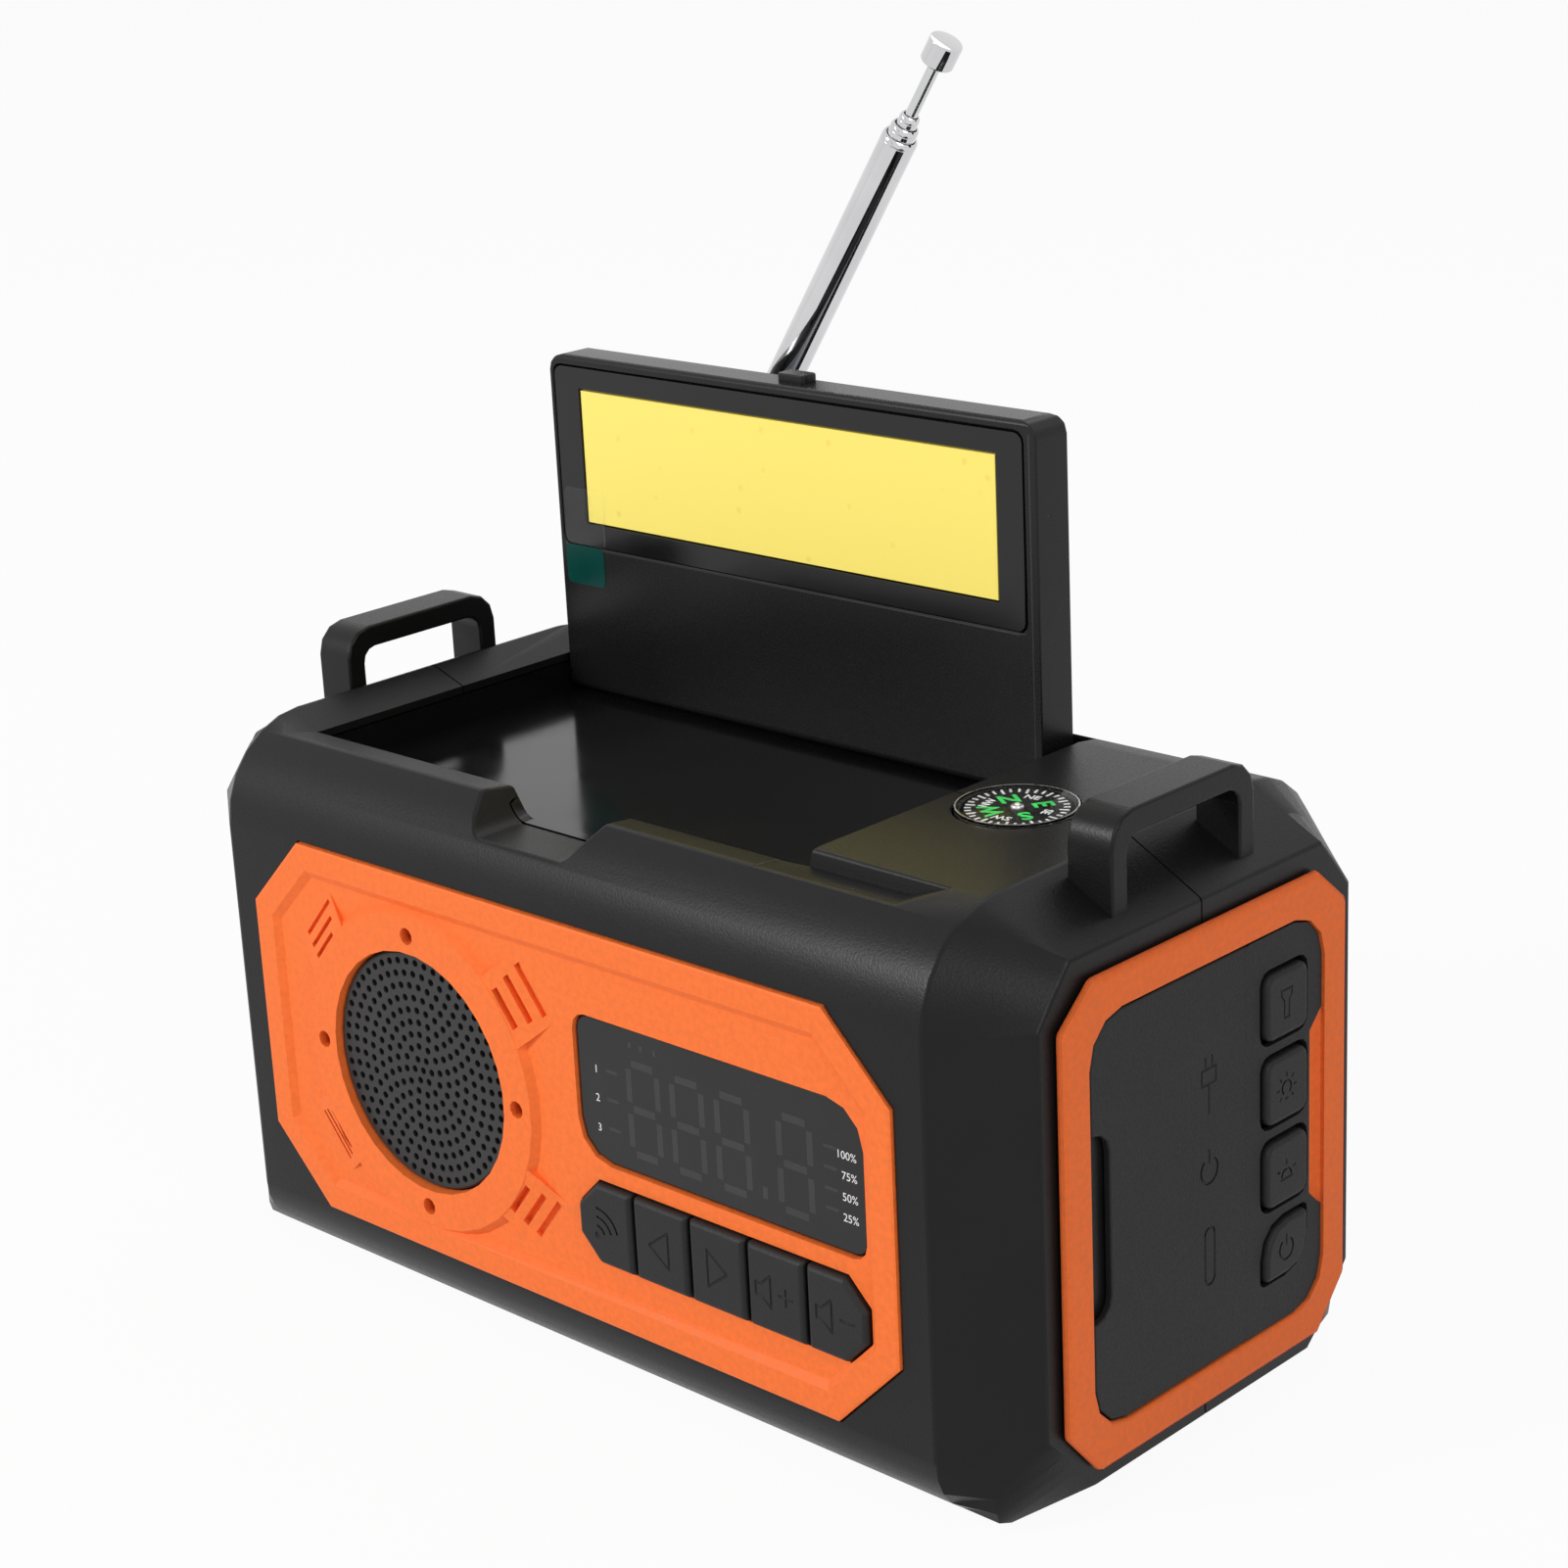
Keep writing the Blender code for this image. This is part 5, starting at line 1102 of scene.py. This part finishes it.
class RADIO_OT_lid(bpy.types.Operator):
    """Finishes the lid: its frame, lamp, window, solar panel, pins, seams and pull film"""

    bl_idname = "radio.lid"
    bl_label = "Lid"

    def execute(self, context):
        edge = context.scene.radio_lid.edge / MM
        tab_top = 144.9
        tab_drop = 0.8
        lid = traced("lid_frame")
        softened(lid, edge, steps=3, angle=28.0)
        shifted(lid, lambda middle, facing: middle.z > tab_top, (0, 0, -tab_drop))
        settled(lid, "lid_frame_piece", "lid", "lid", "lid_frame", slot="black_plastic")
        rounded("lamp_window", "bezel", "smoked_window", 0.08, steps=1)
        rounded("lamp_panel", "lamp", "lamp_yellow", 0.05, steps=1)
        rounded("solar_panel", "solar", "solar_cell", 0.2)
        for node in ("lid_pin_left", "lid_pin_right"):
            rounded(node, "steel", "steel", 0.15)
        self.seams()
        self.film()
        return {"FINISHED"}

    def seams(self):
        """The fine seam beside the lid's right edge and the one under its window."""
        width = 0.3
        thick = 0.04
        frame_low, frame_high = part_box("lid_frame")
        window_low, window_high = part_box("lamp_window")
        face = frame_low.y / MM
        side = frame_high.x / MM - 1.4
        top, base = window_high.z / MM, frame_low.z / MM + 4.0
        lines = [bar(side, (top + base) / 2, width, top - base, thick)]
        mid = (window_low.x + window_high.x) / 2 / MM
        across = (window_high.x - window_low.x) / MM
        lines.append(bar(mid, window_low.z / MM - 0.25, across, width, thick))
        seams = standing(joined(lines), "front", (0, face + thick / 2, 0))
        settled(seams, "lid_seams", "ghost", "lid", slot="black_plastic")

    def film(self):
        """The clear film over the window's lower left corner, and its coloured pull tab."""
        window_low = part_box("lamp_window")[0]
        left, base = window_low.x / MM + 0.4, window_low.z / MM
        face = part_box("lid_frame")[0].y / MM
        film = standing(self.leaf(left + 4.8, base + 5.1, width=9.6, height=10.0), "front", (0, face, 0))
        settled(film, "pull_film", "film", "lid", slot="clear")
        tab = standing(self.leaf(left + 4.4, base - 3.6, width=9.4, height=7.0), "front", (0, face, 0))
        settled(tab, "pull_tab", "tab", "lid", slot="smoked_window")

    def leaf(self, u, v, width, height):
        """A thin leaf with round corners, drawn flat and just clear of what it lies on."""
        clearance = 0.01
        thick = 0.06
        corner = 1.1
        bpy.ops.mesh.primitive_plane_add(size=MM)
        piece = bpy.context.object
        piece.scale = (width, height, 1)
        piece.location = (u * MM, v * MM, clearance * MM)
        applied()
        edit(piece)
        bpy.ops.mesh.bevel(offset=corner * MM, segments=4, affect="VERTICES")
        bpy.ops.mesh.select_all(action="SELECT")
        bpy.ops.mesh.extrude_region_move(TRANSFORM_OT_translate={"value": (0, 0, thick * MM)})
        bpy.ops.mesh.select_all(action="SELECT")
        bpy.ops.mesh.normals_make_consistent(inside=False)
        done()
        return piece


class RADIO_OT_compass(bpy.types.Operator):
    """Models the compass card's dial and its pivot, and finishes the cup and dome"""

    bl_idname = "radio.compass"
    bl_label = "Compass"

    # Thickness of the dial's print in mm, and where the card points, in degrees
    print_thick = 0.04
    north = 57

    def execute(self, context):
        rounded("compass_cup", "satin", "black_plastic", 0.15)
        rounded("compass_dome", "dome", "clear", 0.15, steps=3)
        coloured("compass_card", "dial")
        dial_rise = 1.25
        edge = 0.05
        low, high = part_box("compass_card")
        spot = centre("compass_card")
        face = low.z / MM + dial_rise
        radius = (high.x - low.x) / 2 / MM
        disc = turned(((radius, 0), (radius, 0.44), (radius - edge, 0.5)), 64)
        standing(disc, "top", (spot.x, spot.y, face - 0.49))
        settled(disc, "compass_disc", "dial", "compass_card", slot="black_plastic")
        ticks = []
        for step in range(36):
            long = 1.5 if step % 3 == 0 else 1.0
            ticks.append(self.tick(10 * step, radius - edge - long / 2, long))
        for word, turn in (("NE", 45), ("SE", -45), ("SW", 225), ("NW", 135)):
            ticks.append(self.letter(word, turn, radius - 3.0, size=2.0, bold=0.04))
        self.dial(ticks, spot, face, "compass_ticks", "print")
        letters = [
            self.letter(word, turn, radius - 4.0, size=4.4, bold=0.12)
            for word, turn in (("N", 90), ("E", 0), ("S", 270), ("W", 180))
        ]
        self.dial(letters, spot, face, "compass_letters", "glow")
        hub = ((1.0, 0), (1.0, 0.25), (0.85, 0.45), (0.6, 0.5), (0.45, 0.5), (0.3, 0.75), (0.15, 0.8))
        cap = standing(turned(hub, 40), "top", (spot.x, spot.y, face))
        settled(cap, "compass_pivot_cap", "nickel", "compass_card", slot="steel")
        self.rim(spot)
        return {"FINISHED"}

    def rim(self, spot):
        """A thin bright nickel hoop round the dome's foot: a painted highlight for the dome's edge catching
        the light.
        """
        low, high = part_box("compass_dome")
        radius = (high.x - low.x) / 2 / MM
        # Painted highlight: a bright hoop where the glass edge of the dome catches the light
        rim = standing(hoop(0, 0, radius - 0.14, 0.2, 0.12), "top", (spot.x, spot.y, low.z / MM + 0.34))
        settled(rim, "compass_rim_highlight", "nickel", "radio", slot="clear")

    def tick(self, turn, reach, long):
        """A tick that points out from the middle of the dial."""
        u, v = around(turn)
        return bar(reach * u, reach * v, long, 0.4, self.print_thick, turn)

    def letter(self, word, turn, reach, size, bold):
        """A letter that stands on the dial with its head to the rim."""
        piece = lettered(word, size, self.print_thick, "CENTER", bold)
        piece.rotation_euler.z = math.radians(turn - 90)
        u, v = around(turn)
        piece.location = (reach * u * MM, reach * v * MM, 0)
        applied()
        return piece

    def dial(self, pieces, spot, face, name, finish):
        """Lays printed pieces on the card, turned the way the card points."""
        piece = joined(pieces)
        piece.rotation_euler.z = math.radians(self.north)
        applied()
        standing(piece, "top", (spot.x, spot.y, face))
        settled(piece, name, finish, "compass_card", slot="black_plastic")


class RADIO_OT_aerial(bpy.types.Operator):
    """Models the round aerial sections with their collars, and finishes the fork and pin"""

    bl_idname = "radio.aerial"
    bl_label = "Aerial"

    def execute(self, context):
        edge = context.scene.radio_aerial.edge / MM
        for node in ("antenna_root", "antenna_pin"):
            rounded(node, "chrome", "chrome", edge)
        pivot, along = self.line()
        end, radius = self.reach("antenna_tube", pivot, along)[1:]
        shank = 7.0
        tongue = traced("antenna_tube")
        edit(tongue)
        bpy.ops.mesh.bisect(
            plane_co=pivot + along * (shank + 0.4) * MM, plane_no=along, use_fill=True, clear_outer=True
        )
        done()
        softened(tongue, edge)
        sleeve = self.sleeve(pivot, along, shank, end, radius, wall=0.55, taper=1.3)
        tube = joined([sleeve, tongue])
        settled(tube, "antenna_tube_piece", "chrome", "aerial_tube", "antenna_tube", slot="chrome")
        for node in ("antenna_section_2", "antenna_section_3"):
            start, end, radius = self.reach(node, pivot, along)
            sleeve = self.sleeve(pivot, along, start, end, radius, wall=0.5, taper=0.5)
            settled(sleeve, node + "_piece", "chrome", body_of(node), node, slot="chrome")
        start, end, radius = self.reach("antenna_rod", pivot, along)
        profile = ((radius * 0.7, start), (radius, start + 0.3), (radius, end - 0.3), (radius * 0.8, end))
        rod = self.leaning(turned(profile, 48), pivot, along)
        settled(rod, "antenna_rod_piece", "chrome", body_of("antenna_rod"), "antenna_rod", slot="chrome")
        knob_trim = 0.43
        start, end, radius = self.reach("antenna_knob", pivot, along)
        end -= knob_trim
        profile = (
            (radius - 0.5, start), (radius - 0.18, start + 0.08), (radius - 0.03, start + 0.3),
            (radius - 0.02, end - 0.3), (radius - 0.12, end - 0.1), (radius - 0.34, end - 0.02),
            (0.5, end - 0.02),
        )
        knob = self.leaning(turned(profile, 64), pivot, along)
        body = body_of("antenna_knob")
        settled(knob, "antenna_knob_piece", "chrome", body, "antenna_knob", slot="chrome")
        return {"FINISHED"}

    def line(self):
        """The aerial's fold point and its direction at rest."""
        pivot = centre("antenna_pin") * MM
        along = centre("antenna_knob") * MM - pivot
        along.y = 0
        return pivot, along.normalized()

    def reach(self, node, pivot, along):
        """Where a section starts and ends along the aerial, and its radius, in mm."""
        past_tongue = 20
        spots = [vertex.co - pivot for vertex in frame["nodes"][node].data.vertices]
        steps = [spot.dot(along) / MM for spot in spots]
        round_spots = [spot for spot, step in zip(spots, steps) if step > past_tongue]
        radius = max((spot - along * spot.dot(along)).length for spot in round_spots)
        return min(steps), max(steps), radius / MM

    def sleeve(self, pivot, along, start, end, radius, wall, taper):
        """A hollow tube with a rolled collar at its open end."""
        bore = radius - wall
        waist = radius - 0.07
        profile = (
            (radius - 0.6, start), (radius, start + taper), (radius, end - 1.25), (waist, end - 1.15),
            (waist, end - 1.0), (radius, end - 0.9), (radius - 0.03, end - 0.55),
            (radius - 0.15, end - 0.22), (radius - 0.36, end), (bore, end - 0.12), (bore, start + 3.0),
        )
        return self.leaning(turned(profile, 64), pivot, along)

    def leaning(self, piece, pivot, along):
        """Leans an upright piece over to the aerial's direction."""
        lean = Vector((0, 0, 1)).rotation_difference(along).to_matrix().to_4x4()
        piece.matrix_world = Matrix.Translation(pivot) @ lean
        return piece


class RADIO_OT_crank(bpy.types.Operator):
    """Finishes the crank and its folding handle"""

    bl_idname = "radio.crank"
    bl_label = "Crank"

    def execute(self, context):
        rounded("crank_arm", "satin", "black_plastic", 0.3, steps=3, angle=28.0)
        rounded("crank_handle", "ring", "orange_plastic", 0.5, steps=3, angle=28.0)
        return {"FINISHED"}


class RADIO_OT_works(bpy.types.Operator):
    """Finishes the works inside the casing"""

    bl_idname = "radio.works"
    bl_label = "Works"

    def execute(self, context):
        kinds = {
            "crank_gear": "nylon",
            "dynamo_housing": "steel",
            "dynamo_rotor": "copper",
            "speaker_frame": "steel",
            "speaker_cone": "paper",
            "display_board": "board",
            "side_board": "board",
            "main_board": "board",
            "battery_cell": "wrap",
            "ferrite_rod": "ferrite",
        }
        for node, finish in kinds.items():
            coloured(node, finish)
        return {"FINISHED"}


class RADIO_OT_stage(bpy.types.Operator):
    """Sets the floor, the studio light and the camera"""

    bl_idname = "radio.stage"
    bl_label = "Stage"

    def execute(self, context):
        settings = context.scene.radio_stage
        self.floor(tuple(settings.floor_colour))
        self.world(context.scene)
        self.lamp("key_light", (-0.75, -1.35, 0.85), size=0.4, power=16.9)
        self.lamp("side_light", (1.15, -0.45, 0.7), size=0.7, power=5.0)
        self.lamp("top_light", (-0.1, 0.45, 1.3), size=0.8, power=2.0)
        self.flag("wide_flag", (0.85, 0.55, 0.3), width=0.28, height=0.9)
        self.flag("thin_flag", (0.08, -1.1, 0.3), width=0.06, height=0.9)
        self.camera(context.scene, settings)
        context.scene.view_settings.view_transform = "Standard"
        return {"FINISHED"}

    def seen(self, tree):
        """1 for rays that should see the white background: from the camera, off gloss, through glass."""
        path = tree.nodes.new("ShaderNodeLightPath")
        gloss = tree.nodes.new("ShaderNodeMath")
        gloss.operation = "MAXIMUM"
        tree.links.new(path.outputs["Is Camera Ray"], gloss.inputs[0])
        tree.links.new(path.outputs["Is Glossy Ray"], gloss.inputs[1])
        through = tree.nodes.new("ShaderNodeMath")
        through.operation = "MAXIMUM"
        tree.links.new(gloss.outputs["Value"], through.inputs[0])
        tree.links.new(path.outputs["Is Transmission Ray"], through.inputs[1])
        return through.outputs["Value"]

    def floor(self, colour):
        """A pale floor that shows white and keeps a part of the object's shadow."""
        white_share = 0.94
        bpy.ops.mesh.primitive_plane_add(size=40.0, location=(0, 0, -0.3 * MM))
        floor = bpy.context.object
        floor.name = "studio_floor"
        finish = bpy.data.materials.new("studio_floor")
        finish.use_nodes = True
        tree = finish.node_tree
        shader = tree.nodes["Principled BSDF"]
        shader.inputs["Base Color"].default_value = (*colour, 1)
        shader.inputs["Roughness"].default_value = 0.8
        glow = tree.nodes.new("ShaderNodeEmission")
        mix = tree.nodes.new("ShaderNodeMixShader")
        share = tree.nodes.new("ShaderNodeMath")
        share.operation = "MULTIPLY"
        share.inputs[1].default_value = white_share
        tree.links.new(self.seen(tree), share.inputs[0])
        tree.links.new(share.outputs["Value"], mix.inputs["Fac"])
        tree.links.new(shader.outputs["BSDF"], mix.inputs[1])
        tree.links.new(glow.outputs["Emission"], mix.inputs[2])
        tree.links.new(mix.outputs["Shader"], tree.nodes["Material Output"].inputs["Surface"])
        floor.data.materials.append(finish)

    def world(self, scene):
        """Soft pale light all round, and a white background."""
        world = bpy.data.worlds.new("studio_white")
        scene.world = world
        world.use_nodes = True
        tree = world.node_tree
        plain = tree.nodes["Background"]
        plain.inputs["Color"].default_value = (0.95, 0.97, 1.0, 1)
        plain.inputs["Strength"].default_value = 0.28
        white = tree.nodes.new("ShaderNodeBackground")
        white.inputs["Strength"].default_value = 1.0
        white.inputs["Color"].default_value = (1, 1, 1, 1)
        mix = tree.nodes.new("ShaderNodeMixShader")
        tree.links.new(self.seen(tree), mix.inputs["Fac"])
        tree.links.new(plain.outputs["Background"], mix.inputs[1])
        tree.links.new(white.outputs["Background"], mix.inputs[2])
        tree.links.new(mix.outputs["Shader"], tree.nodes["World Output"].inputs["Surface"])

    def lamp(self, name, place, size, power):
        """A square lamp that looks at the middle of the radio."""
        target = Vector((0, 0, 0.06))
        bpy.ops.object.light_add(type="AREA", location=place)
        lamp = bpy.context.object
        lamp.name = name
        lamp.data.size = size
        lamp.data.energy = power
        aim = target - Vector(place)
        lamp.rotation_euler = aim.to_track_quat("-Z", "Y").to_euler()

    def flag(self, name, place, width, height):
        """An upright black flag that shows only in polished metal and gloss."""
        bpy.ops.mesh.primitive_plane_add(size=1.0, location=place)
        flag = bpy.context.object
        flag.name = name
        flag.scale = (width, height, 1)
        level = Vector((-place[0], -place[1], 0))
        flag.rotation_euler = level.to_track_quat("Z", "Y").to_euler()
        flag.visible_camera = False
        flag.visible_diffuse = False
        flag.visible_transmission = False
        flag.visible_shadow = False
        finish = bpy.data.materials.new(name)
        finish.use_nodes = True
        shader = finish.node_tree.nodes["Principled BSDF"]
        shader.inputs["Base Color"].default_value = (0.01, 0.01, 0.01, 1)
        shader.inputs["Roughness"].default_value = 0.9
        flag.data.materials.append(finish)

    def camera(self, scene, settings):
        """The camera at its place, turned, raised and rolled."""
        turn, rise, roll = settings.azimuth, settings.elevation, settings.roll
        right = Vector((math.cos(turn), math.sin(turn), 0))
        level = math.cos(rise)
        back = Vector((math.sin(turn) * level, -math.cos(turn) * level, math.sin(rise)))
        up = back.cross(right)
        rolled_right = right * math.cos(roll) + up * math.sin(roll)
        rolled_up = up * math.cos(roll) - right * math.sin(roll)
        bpy.ops.object.camera_add()
        camera = bpy.context.object
        camera.name = "studio_camera"
        camera.data.lens = settings.lens
        camera.data.sensor_width = 36.0
        camera.data.clip_start = 0.01
        columns = Matrix((rolled_right, rolled_up, back)).transposed().to_4x4()
        camera.matrix_world = Matrix.Translation(Vector(settings.place)) @ columns
        scene.camera = camera


class RADIO_PT_panel(bpy.types.Panel):
    """Lists the radio's steps"""

    bl_idname = "RADIO_PT_panel"
    bl_label = "Emergency radio"
    bl_space_type = "VIEW_3D"
    bl_region_type = "UI"
    bl_category = "Radio"

    def draw(self, context):
        for step in STEPS:
            self.layout.operator(step.bl_idname)


STEPS = (
    RADIO_OT_finishes,
    RADIO_OT_case,
    RADIO_OT_fascia,
    RADIO_OT_display,
    RADIO_OT_front_keys,
    RADIO_OT_side_panel,
    RADIO_OT_torch,
    RADIO_OT_tray,
    RADIO_OT_lid,
    RADIO_OT_compass,
    RADIO_OT_aerial,
    RADIO_OT_crank,
    RADIO_OT_works,
    RADIO_OT_stage,
)

SETTINGS = {
    "radio_case": RadioCaseSettings,
    "radio_fascia": RadioFasciaSettings,
    "radio_lid": RadioLidSettings,
    "radio_aerial": RadioAerialSettings,
    "radio_stage": RadioStageSettings,
}


def register():
    for kind in (*SETTINGS.values(), *STEPS, RADIO_PT_panel):
        bpy.utils.register_class(kind)
    for name, kind in SETTINGS.items():
        setattr(bpy.types.Scene, name, bpy.props.PointerProperty(type=kind))


def unregister():
    for name in SETTINGS:
        delattr(bpy.types.Scene, name)
    for kind in (RADIO_PT_panel, *reversed(STEPS), *SETTINGS.values()):
        bpy.utils.unregister_class(kind)


def main():
    register()
    bpy.ops.radio.finishes()
    bpy.ops.radio.case()
    bpy.ops.radio.fascia()
    bpy.ops.radio.display()
    bpy.ops.radio.front_keys()
    bpy.ops.radio.side_panel()
    bpy.ops.radio.torch()
    bpy.ops.radio.tray()
    bpy.ops.radio.lid()
    bpy.ops.radio.compass()
    bpy.ops.radio.aerial()
    bpy.ops.radio.crank()
    bpy.ops.radio.works()
    bpy.ops.radio.stage()


if __name__ == "__main__":
    main()
